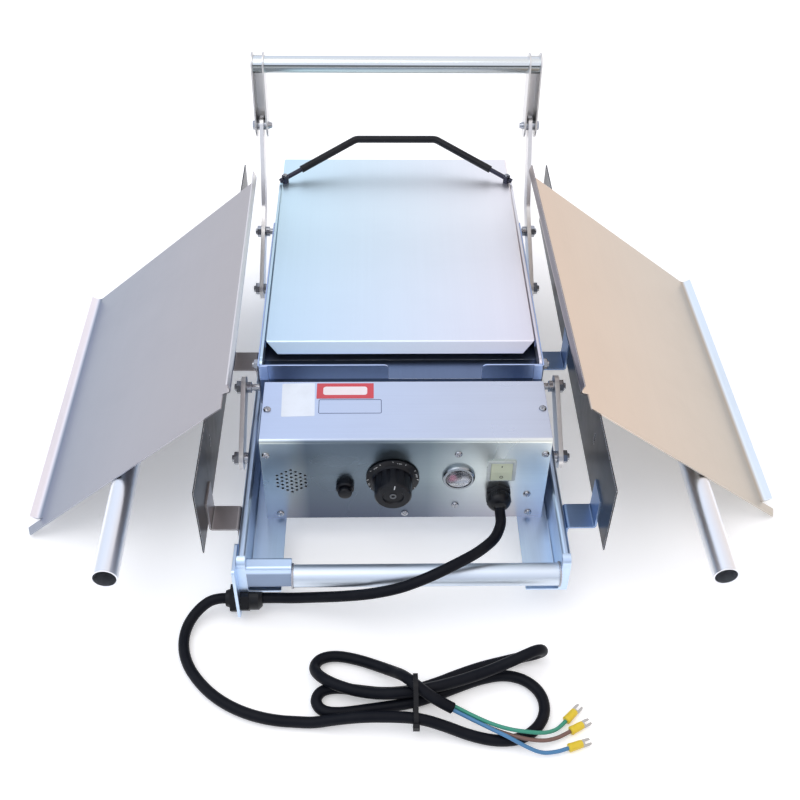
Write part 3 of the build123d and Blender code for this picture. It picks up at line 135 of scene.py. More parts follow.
board = bmesh.new()
bmesh.ops.create_grid(board, x_segments=1, y_segments=1, size=3.0)
floor = new_piece("floor", board, body=None)
paint, tree, shader = new_material("white_board")
shader.inputs["Roughness"].default_value = 0.9
floor_place = step(tree, "TexCoord").outputs["Object"]
spots = step(tree, "TexNoise", {"Vector": floor_place, "Scale": 3.0, "Detail": 4})
tree.links.new(ramp(tree, spots.outputs[0], [(0.3, (0.93, 0.925, 0.915)), (0.7, (0.95, 0.945, 0.94))]),
               shader.inputs["Base Color"])
rays = step(tree, "LightPath")
seen = step(tree, "Math", {0: rays.outputs["Is Camera Ray"], 1: rays.outputs["Is Glossy Ray"]},
            operation="ADD")
seen = step(tree, "Math", {0: seen.outputs[0], 1: rays.outputs["Is Transmission Ray"]}, operation="ADD",
            use_clamp=True)
floor_lift = 0.30
lift = step(tree, "Math", {0: seen.outputs[0], 1: floor_lift}, operation="MULTIPLY")
shader.inputs["Emission Color"].default_value = (1, 1, 1, 1)
tree.links.new(lift.outputs[0], shader.inputs["Emission Strength"])
floor.data.materials.append(paint)


# Open shade out of doors: a soft pale sky that is bluer overhead, a little warmer to the right, with a
# darker band low behind the camera, and one large soft lamp for shape.
world = bpy.data.worlds.new("open_shade")
bpy.context.scene.world = world
world.use_nodes = True
tree = world.node_tree
split = step(tree, "SeparateXYZ", {0: step(tree, "TexCoord").outputs["Generated"]})
sky = ramp(tree, split.outputs["Z"], [(0.0, (0.78, 0.79, 0.80)), (0.30, (0.81, 0.89, 1.04)),
                                      (0.75, (0.86, 0.92, 1.06)), (1.0, (0.97, 0.99, 1.02))])
sky = mixed(tree, spread(tree, split.outputs["X"], -0.15, 0.9, 0, 0.8), sky, (1.0, 0.86, 0.76, 1))
behind = spread(tree, split.outputs["Y"], -0.25, -0.7, 0, 1)
low_band = ramp(tree, split.outputs["Z"], [(0.0, (1, 1, 1)), (0.22, (1, 1, 1)), (0.42, (0, 0, 0))])
band = step(tree, "Math", {0: behind, 1: low_band}, operation="MULTIPLY")
sky = mixed(tree, spread(tree, band.outputs[0], 0, 1, 0, 0.6), sky, (0.22, 0.24, 0.27, 1))
tree.links.new(sky, tree.nodes["Background"].inputs["Color"])
tree.nodes["Background"].inputs["Strength"].default_value = 1.0

lamp_data = bpy.data.lights.new("soft_lamp", "AREA")
lamp_data.size = 2.2
lamp_data.energy = 16
soft_lamp = bpy.data.objects.new("soft_lamp", lamp_data)
bpy.context.scene.collection.objects.link(soft_lamp)
soft_lamp.location = (-1.0, -0.5, 2.6)
soft_lamp.rotation_euler = (Vector((0, 0.05, 0)) - soft_lamp.location).to_track_quat("-Z", "Y").to_euler()


# The supply cord is one length of round rubber cord. It drops from the gland on the left rail to the ground,
# runs round to a loose hank held at its waist, and ends bare, with its three conductors crimped in terminals.
def new_group(name, inputs, outputs):
    """An effect that several materials share, with named values in and named results out."""
    group = bpy.data.node_groups.new(name, "ShaderNodeTree")
    for label, (kind, value) in inputs.items():
        socket = group.interface.new_socket(name=label, in_out="INPUT", socket_type="NodeSocket" + kind)
        if value is not None:
            socket.default_value = value
    for label, kind in outputs.items():
        group.interface.new_socket(name=label, in_out="OUTPUT", socket_type="NodeSocket" + kind)
    return group, group.nodes.new("NodeGroupInput").outputs, group.nodes.new("NodeGroupOutput").inputs


def placed(tree, group, inputs):
    """Place a shared effect in a material with its own values."""
    made = tree.nodes.new("ShaderNodeGroup")
    made.node_tree = group
    for key, value in inputs.items():
        if isinstance(value, bpy.types.NodeSocket):
            tree.links.new(value, made.inputs[key])
        else:
            made.inputs[key].default_value = value
    return made.outputs


moulded_skin, given, result = new_group(
    "moulded_skin",
    {"Place": ("Vector", None), "Colour": ("Color", (0.02, 0.02, 0.02, 1)), "Roughness": ("Float", 0.4),
     "Dust": ("Float", 0.3), "Grain Size": ("Float", 900.0)},
    {"Colour": "Color", "Roughness": "Float", "Height": "Float"})
skin = step(moulded_skin, "TexNoise", {"Vector": given["Place"], "Scale": given["Grain Size"], "Detail": 3})
haze = step(moulded_skin, "TexNoise", {"Vector": given["Place"], "Scale": 38.0, "Detail": 6,
                                       "Roughness": 0.62})
cover = spread(moulded_skin, haze.outputs[0], 0.42, 0.78, 0, 1)
dusty = step(moulded_skin, "Math", {0: cover, 1: given["Dust"]}, operation="MULTIPLY")
paler = mixed(moulded_skin, 0.5, given["Colour"], (0.20, 0.20, 0.20, 1))
moulded_skin.links.new(mixed(moulded_skin, dusty.outputs[0], given["Colour"], paler), result["Colour"])
duller = step(moulded_skin, "Math", {0: dusty.outputs[0], 1: 0.35, 2: given["Roughness"]},
              operation="MULTIPLY_ADD")
moulded_skin.links.new(duller.outputs[0], result["Roughness"])
moulded_skin.links.new(skin.outputs[0], result["Height"])


def moulded(name, colour, roughness, dust=0.3, grain=0.15, size=900.0, shine=0.5):
    """Rubber, nylon or moulded plastic, with a fine skin and a little dust."""
    material, tree, shader = new_material(name)
    shader.inputs["Specular IOR Level"].default_value = shine
    place = step(tree, "TexCoord").outputs["Object"]
    made = placed(tree, moulded_skin, {"Place": place, "Colour": (*colour, 1), "Roughness": roughness,
                                       "Dust": dust, "Grain Size": size})
    tree.links.new(made["Colour"], shader.inputs["Base Color"])
    tree.links.new(made["Roughness"], shader.inputs["Roughness"])
    bump = step(tree, "Bump", {"Strength": grain, "Distance": 0.0002, "Height": made["Height"]})
    tree.links.new(bump.outputs[0], shader.inputs["Normal"])
    return material


def soft_line(name, route, size, body="frame"):
    """A round cord along one smooth line through a route given in millimetres."""
    curve = bpy.data.curves.new(name, "CURVE")
    curve.dimensions = "3D"
    curve.bevel_depth = 1.0
    curve.bevel_resolution = 6
    curve.resolution_u = 16
    curve.use_fill_caps = True
    spline = curve.splines.new("NURBS")
    spline.points.add(len(route) - 1)
    for point, place in zip(spline.points, route):
        point.co = (place[0] / 1000, place[1] / 1000, place[2] / 1000, 1)
        point.radius = size / 2
    spline.order_u = 3
    spline.use_endpoint_u = True
    line = bpy.data.objects.new(name, curve)
    bpy.context.scene.collection.objects.link(line)
    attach(line, body)
    return line


cord_size = 0.011
low = 5.7
cord_route = [
    (-186.0, -301.7, 21), (-197.0, -301.7, 21), (-210.0, -306.7, 16), (-222.0, -319.7, 9.5),
    (-226.5, -335.7, 6.2), (-225.0, -353.7, low), (-218.0, -371.7, low), (-206.0, -388.7, low),
    (-190.0, -404.7, low), (-170.0, -417.7, low), (-148.0, -426.7, low), (-126.0, -431.5, low),
    (-109.0, -432.7, low), (-92.0, -433.9, low), (-73.0, -434.6, 12.6), (-47.0, -434.9, 17.8),
    (-19.0, -435.2, 18), (7.0, -436.7, 17.4), (31.0, -442.2, 12.5), (55.0, -449.7, 7.2),
    (79.0, -454.7, low), (101.0, -453.2, low), (118.0, -443.2, low), (128.5, -425.7, low),
    (127.0, -405.7, low), (114.0, -390.7, low), (94.0, -384.2, low), (71.0, -387.7, low),
    (47.0, -396.7, low), (24.0, -406.7, 6.3), (1.0, -415.5, 8.3), (-23.0, -418.3, 6.5),
    (-47.0, -421.3, low), (-69.0, -424.2, low), (-85.0, -422.2, low), (-92.5, -411.2, low),
    (-87.0, -399.7, low), (-72.0, -396.5, low), (-51.0, -399.7, low), (-27.0, -403.7, 6.5),
    (-1.0, -403.0, 8.3), (23.0, -394.3, 6.3), (47.0, -383.7, low), (71.0, -374.9, low),
    (93.0, -369.2, low), (111.0, -364.7, low), (125.0, -361.5, low), (132.5, -365.7, 18.2),
    (125.5, -371.2, 30.4), (105.0, -378.7, 26.5), (80.0, -387.0, 20), (53.0, -395.7, 17.6),
    (27.0, -403.9, 18.4), (1.0, -410.2, 19.8), (-25.0, -412.0, 18.2), (-51.0, -408.2, 17.4),
    (-73.0, -401.1, 18.6), (-89.0, -389.6, 15.5), (-95.0, -375.7, 8.5), (-89.0, -364.2, 6.1),
    (-73.0, -360.7, low), (-51.0, -365.7, low), (-32.0, -374.7, 8.5), (-17.0, -384.7, 14.5),
    (-7.0, -396.2, 26), (3.0, -409.2, 32.4), (15.0, -417.2, 27.5), (26.0, -421.7, 21.5),
    (39.0, -425.7, 15.5),
]
supply_cord = soft_line("supply_cord", cord_route, cord_size)
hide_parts("cord_free", "cord_hank")
cord_jacket = moulded("cord_jacket", (0.004, 0.005, 0.009), 0.45, dust=0.05, grain=0.3, shine=0.12)
dress(cord_jacket, "supply_cord", "box_lead")
dress(moulded("tie_nylon", (0.004, 0.004, 0.006), 0.35, dust=0.1, shine=0.25), "hank_tie")


# Each conductor has its own insulation and a crimped terminal: a flared yellow sleeve that the crimping
# tool has pressed flat in two places, with a tinned fork in front.
def set_on(mesh, centre, axis, first=None):
    """Put a mesh made along Z on a place, pointing along an axis. A first matrix can turn it before that."""
    turn = Vector(axis).to_track_quat("Z", "Y").to_matrix().to_4x4()
    whole = Matrix.Translation(centre) @ turn
    bmesh.ops.transform(mesh, matrix=whole @ first if first else whole, verts=mesh.verts)


def ease(mesh, geom, offset, segments=1, affect="EDGES"):
    """Ease the edges or the corners of a mesh."""
    bmesh.ops.bevel(mesh, geom=geom, offset=offset, offset_type="OFFSET", affect=affect, segments=segments,
                    profile=0.5, material=-1)


def turned_about(outline, centre, axis, segments=32, closed=True):
    """A mesh turned about an axis, from an outline of radius and distance along the axis."""
    mesh = bmesh.new()
    points = [mesh.verts.new((radius, 0, along)) for radius, along in outline]
    edges = [mesh.edges.new(pair) for pair in zip(points, points[1:])]
    if closed:
        edges.append(mesh.edges.new((points[-1], points[0])))
    bmesh.ops.spin(mesh, geom=points + edges, cent=(0, 0, 0), axis=(0, 0, 1), angle=2 * math.pi,
                   steps=segments, use_merge=True)
    bmesh.ops.remove_doubles(mesh, verts=mesh.verts, dist=1e-6)
    set_on(mesh, centre, axis)
    return mesh


def smooth(piece, degrees=35):
    """Shade a turned piece round, with its corners kept."""
    piece.data.shade_smooth()
    piece.data.set_sharp_from_angle(angle=math.radians(degrees))
    return piece


terminal_yellow = moulded("terminal_yellow", (0.80, 0.58, 0.03), 0.3, dust=0.15, grain=0.05)
tinned_copper = moulded("tinned_copper", (0.55, 0.53, 0.50), 0.28, dust=0.2, grain=0.1)
tinned_copper.node_tree.nodes["Principled BSDF"].inputs["Metallic"].default_value = 1.0


crimp_places = (0.0045, 0.0095)
crimp_half = 0.0022
crimp_depth = 0.0006
crimp_from = 0.0028
fork_middle = 0.0180


def terminal(name, node, start, way):
    """A sleeve 14 mm long over the conductor's end, and a fork 9 mm long in front of it."""
    outline = [(0.0, -0.0004), (0.0034, -0.0004), (0.0042, 0.0002), (0.0043, 0.0012), (0.0040, 0.0030),
               (0.0039, 0.0112), (0.0036, 0.0136), (0.0030, 0.0140), (0.0, 0.0140)]
    mesh = turned_about(outline, start, way, 24, closed=False)
    for place in crimp_places:
        pressed = [v for v in mesh.verts if abs((v.co - start).dot(way) - place) < crimp_half
                   and abs(v.co.z - start.z) > crimp_from]
        bmesh.ops.translate(mesh, verts=pressed, vec=(0, 0, -crimp_depth))
    sleeve = smooth(new_piece(name + "_sleeve", mesh, terminal_yellow), 50)
    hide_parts(node)
    fork = bmesh.new()
    bmesh.ops.create_grid(fork, x_segments=3, y_segments=3, size=0.5)
    slot = [f for f in fork.faces
            if abs(f.calc_center_median().x) < 0.1 and f.calc_center_median().y > -0.2]
    bmesh.ops.delete(fork, geom=slot, context="FACES")
    bmesh.ops.scale(fork, vec=(0.0078, 0.009, 1), verts=fork.verts)
    for v in fork.verts:
        if abs(v.co.x) > 0.002 and v.co.y > 0.004:
            v.co.x *= 0.82
    bmesh.ops.solidify(fork, geom=fork.faces[:], thickness=0.001)
    ease(fork, fork.edges[:], 0.00018)
    across = way.cross(Vector((0, 0, 1))).normalized()
    turn = Matrix((across, way, across.cross(way))).transposed().to_4x4()
    bmesh.ops.transform(fork, matrix=Matrix.Translation(start + way * fork_middle) @ turn, verts=fork.verts)
    tongue = new_piece(name + "_fork", fork, tinned_copper)
    return [sleeve, tongue]


jacket_end = Vector(cord_route[-1])
jacket_way = (jacket_end - Vector(cord_route[-2])).normalized()
side_way = jacket_way.cross(Vector((0, 0, 1))).normalized()
low_way = jacket_way.cross(side_way)
conductors = {
    "earth": (210, (0.04, 0.30, 0.20), 0.124, "earth_green", [
        (60.0, -432.5, 11.7), (75.0, -442.1, 14.8), (91.0, -450.3, 19.2), (108.0, -453.2, 19.5),
        (123.0, -451.2, 13.5), (135.0, -444.7, 6.5), (142.0, -438.7, 4.6), (147.0, -433.7, 4.6)]),
    "live": (90, (0.20, 0.11, 0.09), 0.125, "live_brown", [
        (60.0, -434.7, 8.0), (75.0, -444.7, 10.8), (91.0, -453.5, 15.0), (107.0, -457.9, 14.6),
        (123.0, -456.7, 9), (136.0, -451.7, 4.8), (144.0, -447.7, 4.6), (150.0, -444.5, 4.6)]),
    "neutral": (330, (0.07, 0.22, 0.42), 0.120, "neutral_blue", [
        (60.0, -437.2, 11.7), (75.0, -447.3, 14.4), (90.0, -457.1, 17.2), (105.0, -463.9, 12),
        (120.0, -466.9, 5), (133.0, -465.5, 4.6), (140.0, -463.7, 4.6), (146.0, -461.7, 4.6)]),
}
for name, (turn, colour, long, finish, bends) in conductors.items():
    turn = math.radians(turn)
    start = jacket_end + side_way * 2.5 * math.cos(turn) + low_way * 2.5 * math.sin(turn)
    route = [tuple(start), tuple(start + jacket_way * 9), *bends]
    conductor = soft_line(name + "_conductor", route, 0.0038)
    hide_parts("wire_" + name)
    dress(moulded(name + "_insulation", colour, 0.38, dust=0.2, grain=0.05), name + "_conductor")
    end_way = (Vector(bends[-1]) - Vector(bends[-2])).normalized()
    crimped = terminal(name + "_terminal", "terminal_" + name, Vector(bends[-1]) / 1000, end_way)


# Rails, rear strap and gland plate: two hollow rails folded of 2 mm brushed stainless sheet, each with a
# flange inwards at the bottom, tied at the back by a flat strap. A strip at each end closes their hollow
# round the top corner. They stand on four moulded rubber feet.
hand_marks, given, result = new_group(
    "hand_marks", {"Place": ("Vector", None), "Size": ("Float", 9.0), "Amount": ("Float", 0.5)},
    {"Mask": "Float"})
cloud = step(hand_marks, "TexNoise", {"Vector": given["Place"], "Scale": given["Size"], "Detail": 2,
                                      "Roughness": 0.5, "Distortion": 0.8})
wiped = step(hand_marks, "Mapping", {"Vector": given["Place"], "Scale": (24, 90, 60),
                                     "Rotation": (0.3, 0.2, 0.5)})
wipes = step(hand_marks, "TexNoise", {"Vector": wiped.outputs[0], "Scale": 1.0, "Detail": 2,
                                      "Roughness": 0.5})
both = step(hand_marks, "Math", {0: spread(hand_marks, cloud.outputs[0], 0.36, 0.72, 0, 1),
                                 1: spread(hand_marks, wipes.outputs[0], 0.3, 0.75, 0.35, 1)},
            operation="MULTIPLY")
both = step(hand_marks, "Math", {0: both.outputs[0], 1: given["Amount"]}, operation="MULTIPLY")
hand_marks.links.new(both.outputs[0], result["Mask"])

brushed_grain, given, result = new_group(
    "brushed_grain", {"Place": ("Vector", None), "Stretch": ("Vector", (900, 10, 900)),
                      "Colour": ("Color", (0.6, 0.6, 0.6, 1)), "Streaks": ("Float", 0.08)},
    {"Colour": "Color", "Height": "Float"})
lines = step(brushed_grain, "Mapping", {"Vector": given["Place"]})
brushed_grain.links.new(given["Stretch"], lines.inputs["Scale"])
fine = step(brushed_grain, "TexNoise", {"Vector": lines.outputs[0], "Scale": 1.0, "Detail": 4})
broad = step(brushed_grain, "TexNoise", {"Vector": lines.outputs[0], "Scale": 0.12, "Detail": 3})
sum_of = step(brushed_grain, "Math", {0: fine.outputs[0], 1: broad.outputs[0]}, operation="ADD")
off = step(brushed_grain, "Math", {0: sum_of.outputs[0], 1: 1.0}, operation="SUBTRACT")
tint = step(brushed_grain, "Math", {0: off.outputs[0], 1: given["Streaks"], 2: 1.0},
            operation="MULTIPLY_ADD")
streaked = mixed(brushed_grain, 1.0, given["Colour"], tint.outputs[0], "MULTIPLY")
brushed_grain.links.new(streaked, result["Colour"])
brushed_grain.links.new(fine.outputs[0], result["Height"])

cut_edge, given, result = new_group(
    "cut_edge", {"Width": ("Float", 0.0005), "Amount": ("Float", 1.0)}, {"Mask": "Float", "Normal": "Vector"})
rounded = step(cut_edge, "Bevel", {"Radius": given["Width"]}, samples=4)
true_normal = step(cut_edge, "NewGeometry")
facing = step(cut_edge, "VectorMath", {0: rounded.outputs[0], 1: true_normal.outputs["Normal"]},
              operation="DOT_PRODUCT")
edge = spread(cut_edge, facing.outputs["Value"], 0.999, 0.90, 0, 1)
edge = step(cut_edge, "Math", {0: edge, 1: given["Amount"]}, operation="MULTIPLY", use_clamp=True)
cut_edge.links.new(edge.outputs[0], result["Mask"])
cut_edge.links.new(rounded.outputs[0], result["Normal"])


def sheet_metal(name, colour, roughness, along, streaks=0.10, soil=0.35, edge=0.7,
                edge_colour=(0.85, 0.87, 0.9), edge_width=0.0005, fine=400, bump_strength=0.025,
                colour_from=None):
    """Brushed metal: grain along one axis, handling marks, and bright cut edges."""
    material, tree, shader = new_material(name)
    shader.inputs["Metallic"].default_value = 1.0
    place = step(tree, "TexCoord").outputs["Object"]
    base = colour_from(tree, place) if colour_from else (*colour, 1)
    stretch = [fine * 0.012 if axis == along else fine for axis in "XYZ"]
    grain = placed(tree, brushed_grain, {"Place": place, "Stretch": stretch, "Colour": base,
                                         "Streaks": streaks})
    marks = placed(tree, hand_marks, {"Place": place, "Size": 9.0, "Amount": soil})["Mask"]
    edges = placed(tree, cut_edge, {"Width": edge_width, "Amount": edge})
    dull = mixed(tree, 1.0, grain["Colour"], (0.86, 0.86, 0.88, 1), "MULTIPLY")
    worn = mixed(tree, marks, grain["Colour"], dull)
    tree.links.new(mixed(tree, edges["Mask"], worn, (*edge_colour, 1)), shader.inputs["Base Color"])
    tree.links.new(spread(tree, marks, 0, 1, roughness, roughness + 0.2), shader.inputs["Roughness"])
    bump = step(tree, "Bump", {"Strength": bump_strength, "Distance": 0.0001, "Height": grain["Height"],
                               "Normal": edges["Normal"]})
    tree.links.new(bump.outputs[0], shader.inputs["Normal"])
    return material


rail_steel = sheet_metal("rail_steel", (0.64, 0.79, 1.0), 0.33, "Y")
dress(rail_steel, "rail_left", "rail_right", "rear_strap", "gland_plate")


def folded_painted_reflection(tree, place):
    """The bracket's top is painted pale and its upright face darker: a painted reflection of the ground."""
    height = step(tree, "SeparateXYZ", {0: place}).outputs["Z"]
    return mixed(tree, spread(tree, height, 0.0625, 0.0655, 0, 1),
                 (0.26, 0.33, 0.46, 1), (0.64, 0.79, 1.0, 1))


dress(sheet_metal("folded_bracket_steel", None, 0.33, "X", colour_from=folded_painted_reflection), "bar_bracket")
dress(moulded("foot_rubber", (0.014, 0.014, 0.015), 0.6, dust=0.5), "rubber_feet")


nosing_width, nosing_thick = 0.0086, 0.0020
nosing_radius, nosing_middle = 0.009, 0.00795


def rail_nosing(name, outer_x, end_y, inward):
    """The strip that closes a rail's hollow round its rounded top corner."""
    mesh = bmesh.new()
    bmesh.ops.create_grid(mesh, x_segments=1, y_segments=1, size=0.5)
    bmesh.ops.scale(mesh, vec=(nosing_width, nosing_thick, 1), verts=mesh.verts)
    bmesh.ops.translate(mesh, vec=(outer_x, -inward * nosing_middle, 0), verts=mesh.verts)
    bmesh.ops.spin(mesh, geom=mesh.verts[:] + mesh.edges[:] + mesh.faces[:], cent=(0, 0, 0), axis=(1, 0, 0),
                   angle=-inward * math.pi / 2, steps=10)
    bmesh.ops.holes_fill(mesh, edges=[e for e in mesh.edges if e.is_boundary])
    bmesh.ops.translate(mesh, vec=(0, end_y + inward * nosing_radius,
                                   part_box("rail_right")[1].z - nosing_radius), verts=mesh.verts)
    strip = smooth(new_piece(name, mesh, rail_steel), 40)


half_rail = 0.0045
for side, middle_x in (("left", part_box("rail_left")[0].x + half_rail),
                       ("right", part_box("rail_right")[1].x - half_rail)):
    rail_nosing(side + "_front_nosing", middle_x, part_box("rail_right")[0].y, 1)
    rail_nosing(side + "_back_nosing", middle_x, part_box("rail_right")[1].y, -1)


# The front bar is a tube with satin polish, butted to the right rail and to the folded bracket on the left,
# and run round with a weld at each end.
dress(sheet_metal("bar_steel", (0.74, 0.82, 0.92), 0.42, "X", streaks=0.04, soil=0.2, edge=0.3), "front_bar")
weld_metal = sheet_metal("weld_metal", (0.50, 0.50, 0.54), 0.38, "Z", streaks=0.2, soil=0.6, edge=0.0)


def weld_bead(name, centre, axis, radius, wire=0.0011, ripples=26):
    """A ring of weld metal round a tube, laid in small overlapping ripples."""
    mesh = bmesh.new()
    bmesh.ops.create_circle(mesh, segments=8, radius=wire)
    bmesh.ops.rotate(mesh, cent=(0, 0, 0), matrix=Matrix.Rotation(math.pi / 2, 3, "X"), verts=mesh.verts)
    bmesh.ops.translate(mesh, vec=(radius, 0, 0), verts=mesh.verts)
    bmesh.ops.spin(mesh, geom=mesh.verts[:] + mesh.edges[:], cent=(0, 0, 0), axis=(0, 0, 1),
                   angle=2 * math.pi, steps=ripples * 4, use_merge=True)
    for v in mesh.verts:
        turn = math.atan2(v.co.y, v.co.x)
        swell = 1 + 0.16 * math.sin(ripples * turn) + 0.1 * math.sin(3 * turn + 1)
        ring = Vector((math.cos(turn) * radius, math.sin(turn) * radius, 0))
        v.co = ring + (v.co - ring) * swell
    set_on(mesh, centre, axis)
    bead = smooth(new_piece(name, mesh, weld_metal), 60)


bar_low, bar_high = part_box("front_bar")
bar_axis = ((bar_low.y + bar_high.y) / 2, (bar_low.z + bar_high.z) / 2)
weld_inset, weld_radius = 0.0008, 0.0117
weld_bead("bar_weld_right", (bar_high.x - weld_inset, *bar_axis), (1, 0, 0), weld_radius)
weld_bead("bar_weld_left", (bar_low.x + weld_inset, *bar_axis), (1, 0, 0), weld_radius)


# The side panels are plain smooth sheets on edge outside the linkage. Their inner faces are painted near
# black as painted shade, the reflection of the machine's shaded flank, so that only their cut edges catch the
# light. Four folded brackets tie them to the rails.
def panel_painted_shade(tree, place):
    """Painted shade: dark on the inner side, as the reflection of the machine's shaded flank, and plain steel
    on the outside.
    """
    parts = step(tree, "SeparateXYZ", {0: place}).outputs
    # painted shade on the inner faces: near black, a little lighter low down
    inner = ramp(tree, spread(tree, parts["Z"], 0.088, 0.176, 0, 1), [
        (0.0, (0.030, 0.028, 0.030)), (0.6, (0.018, 0.017, 0.020)), (1.0, (0.018, 0.018, 0.023))])
    facing = step(tree, "SeparateXYZ", {0: step(tree, "NewGeometry").outputs["Normal"]}).outputs["X"]
    outward = step(tree, "Math", {0: facing, 1: parts["X"]}, operation="MULTIPLY")
    return mixed(tree, spread(tree, outward.outputs[0], 0.04, 0.12, 0, 1), inner, (0.42, 0.43, 0.47, 1))


panel_steel = sheet_metal("panel_steel", None, 0.30, "Y", soil=0.5, edge=1.0, edge_width=0.0007,
                          colour_from=panel_painted_shade)
dress(panel_steel, "side_panel_left", "side_panel_right")


def bracket_painted_reflection(tree, place):
    """Painted reflection: brownish grey on the left of the machine and blue on the right, for what each side
    would mirror.
    """
    across = spread(tree, step(tree, "SeparateXYZ", {0: place}).outputs["X"], -0.1, 0.1, 0, 1)
    return ramp(tree, across, [(0.0, (0.40, 0.37, 0.37)), (1.0, (0.24, 0.35, 0.56))])


dress(sheet_metal("bracket_steel", None, 0.34, "X", colour_from=bracket_painted_reflection), "panel_brackets")


# The control box is an open body of bent sheet under one cover sheet, which is its front and top. Its front
# is satin, and a painted reflection of the dark side of the yard lies across it in one broad soft band.
def box_painted_reflection(tree, place):
    """The cover's steel with a painted reflection: the broad dark band across the left and middle of its
    upright front, bright ends, the front darker towards its bottom, and the top bluer on the left.
    """
    parts = step(tree, "SeparateXYZ", {0: place}).outputs
    across = spread(tree, parts["X"], -0.150, 0.145, 0, 1)
    # painted reflection on the front: a broad dark band with bright ends
    front = ramp(tree, across, [
        (0.0, (0.62, 0.68, 0.66)), (0.09, (0.46, 0.52, 0.53)), (0.16, (0.17, 0.215, 0.26)),
        (0.42, (0.175, 0.22, 0.26)), (0.58, (0.28, 0.34, 0.37)), (0.72, (0.62, 0.69, 0.69)),
        (1.0, (1.0, 1.0, 0.90))])
    # the front is painted darker and more purple towards its bottom
    front_darker_low = mixed(tree, spread(tree, parts["Z"], 0.100, 0.036, 0, 0.85), front,
                 mixed(tree, 1.0, front, (0.50, 0.46, 0.58, 1), "MULTIPLY"))
    # painted reflection on the top: bluer on the left, more neutral on the right
    top = ramp(tree, across, [
        (0.0, (0.60, 0.69, 0.88)), (0.5, (0.62, 0.69, 0.84)), (1.0, (0.62, 0.65, 0.74))])
    return mixed(tree, spread(tree, parts["Y"], -0.2080, -0.2050, 0, 1), front_darker_low, top)


dress(sheet_metal("box_steel", None, 0.27, "X", streaks=0.07, soil=0.25, colour_from=box_painted_reflection), "box_cover")
dress(sheet_metal("box_body_steel", (0.50, 0.56, 0.66), 0.33, "X"), "box_body")
dress(sheet_metal("plated_case", (0.55, 0.54, 0.50), 0.4, "Z"), "thermostat")
dress(moulded("board_lacquer", (0.02, 0.07, 0.03), 0.4), "timer_module")


# Ten pan head screws of 4 mm hold the cover to the lips of the body. They are bright plated, domed, with a
# cross recess punched in.
def keep_in(whole, part):
    """Add a finished mesh to a larger one."""
    data = bpy.data.meshes.new("part")
    part.to_mesh(data)
    part.free()
    whole.from_mesh(data)
    bpy.data.meshes.remove(data)


bright_plate = sheet_metal("bright_plate", (0.42, 0.43, 0.46), 0.10, "Z", streaks=0.05, soil=0.2, edge=0.2)
control_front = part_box("box_cover")[0].y
lamp_screw_x = 0.05116
left_screw_x, right_screw_x = -0.14428, 0.13972
upper_screw_z, lower_screw_z = 0.1345, 0.0434
top_screw_y, cover_top = -0.16374, 0.155
front_screws = ((lamp_screw_x, 0.0565), (lamp_screw_x, 0.1352), (0.12629, 0.0730),
                (left_screw_x, upper_screw_z), (right_screw_x, upper_screw_z),
                (-0.13478, lower_screw_z), (-0.00228, lower_screw_z), (0.13022, lower_screw_z))
screw_spots = [((x, control_front, z), (0, -1, 0)) for x, z in front_screws]
screw_spots += [((x, top_screw_y, cover_top), (0, 0, 1)) for x in (left_screw_x, right_screw_x)]
screw_outline = [(0.0, -0.0012), (0.0019, -0.0012), (0.0019, 0.0), (0.0040, 0.0), (0.0040, 0.0006),
                 (0.0037, 0.0014), (0.0030, 0.0020), (0.0021, 0.0023), (0.0010, 0.00235), (0.0, 0.00235)]
recess_reach, recess_middle, recess_depth = 0.0022, 0.0003, 0.0011
screw_mesh = bmesh.new()
for number, (spot, way) in enumerate(screw_spots):
    mesh = turned_about(screw_outline, (0, 0, 0), (0, 0, 1), 24, closed=False)
    for v in mesh.verts:
        reach = math.hypot(v.co.x, v.co.y)
        if v.co.z > 0.0020 and reach < recess_reach:
            quarter = (math.degrees(math.atan2(v.co.y, v.co.x)) + 45) % 90 - 45
            if reach < recess_middle or abs(quarter) < 10:
                v.co.z -= recess_depth
    set_on(mesh, spot, way, Matrix.Rotation(math.radians(37 * number), 4, "Z"))
    keep_in(screw_mesh, mesh)
cover_screws = smooth(new_piece("cover_screws", screw_mesh, bright_plate), 40)
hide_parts("box_screws")


# Three blank labels lie on the top of the box: a white sticker, a red one with a pale field in it, and a
# plate of which only the printed outline shows.
def flat_label(name, x, y, turn, thick, material, corner=0.0012, frame_width=None):
    """A thin sheet with rounded corners on the top of the box, or only its outline."""
    mesh = bmesh.new()
    bmesh.ops.create_grid(mesh, x_segments=1, y_segments=1, size=0.5)
    bmesh.ops.scale(mesh, vec=(x[1] - x[0], y[1] - y[0], 1), verts=mesh.verts)
    ease(mesh, mesh.verts[:], corner, 4, "VERTICES")
    if frame_width:
        bmesh.ops.inset_region(mesh, faces=mesh.faces[:], thickness=frame_width, use_boundary=True,
                               use_even_offset=True)
        inner = max(mesh.faces, key=lambda f: f.calc_area())
        bmesh.ops.delete(mesh, geom=[inner], context="FACES")
    raised = bmesh.ops.extrude_face_region(mesh, geom=mesh.faces[:])
    upper = [g for g in raised["geom"] if isinstance(g, bmesh.types.BMVert)]
    bmesh.ops.translate(mesh, vec=(0, 0, thick), verts=upper)
    middle = ((x[0] + x[1]) / 2, (y[0] + y[1]) / 2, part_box("box_cover")[1].z)
    lie = Matrix.Translation(middle) @ Matrix.Rotation(turn, 4, "Z")
    bmesh.ops.transform(mesh, matrix=lie, verts=mesh.verts)
    label = new_piece(name, mesh, material)


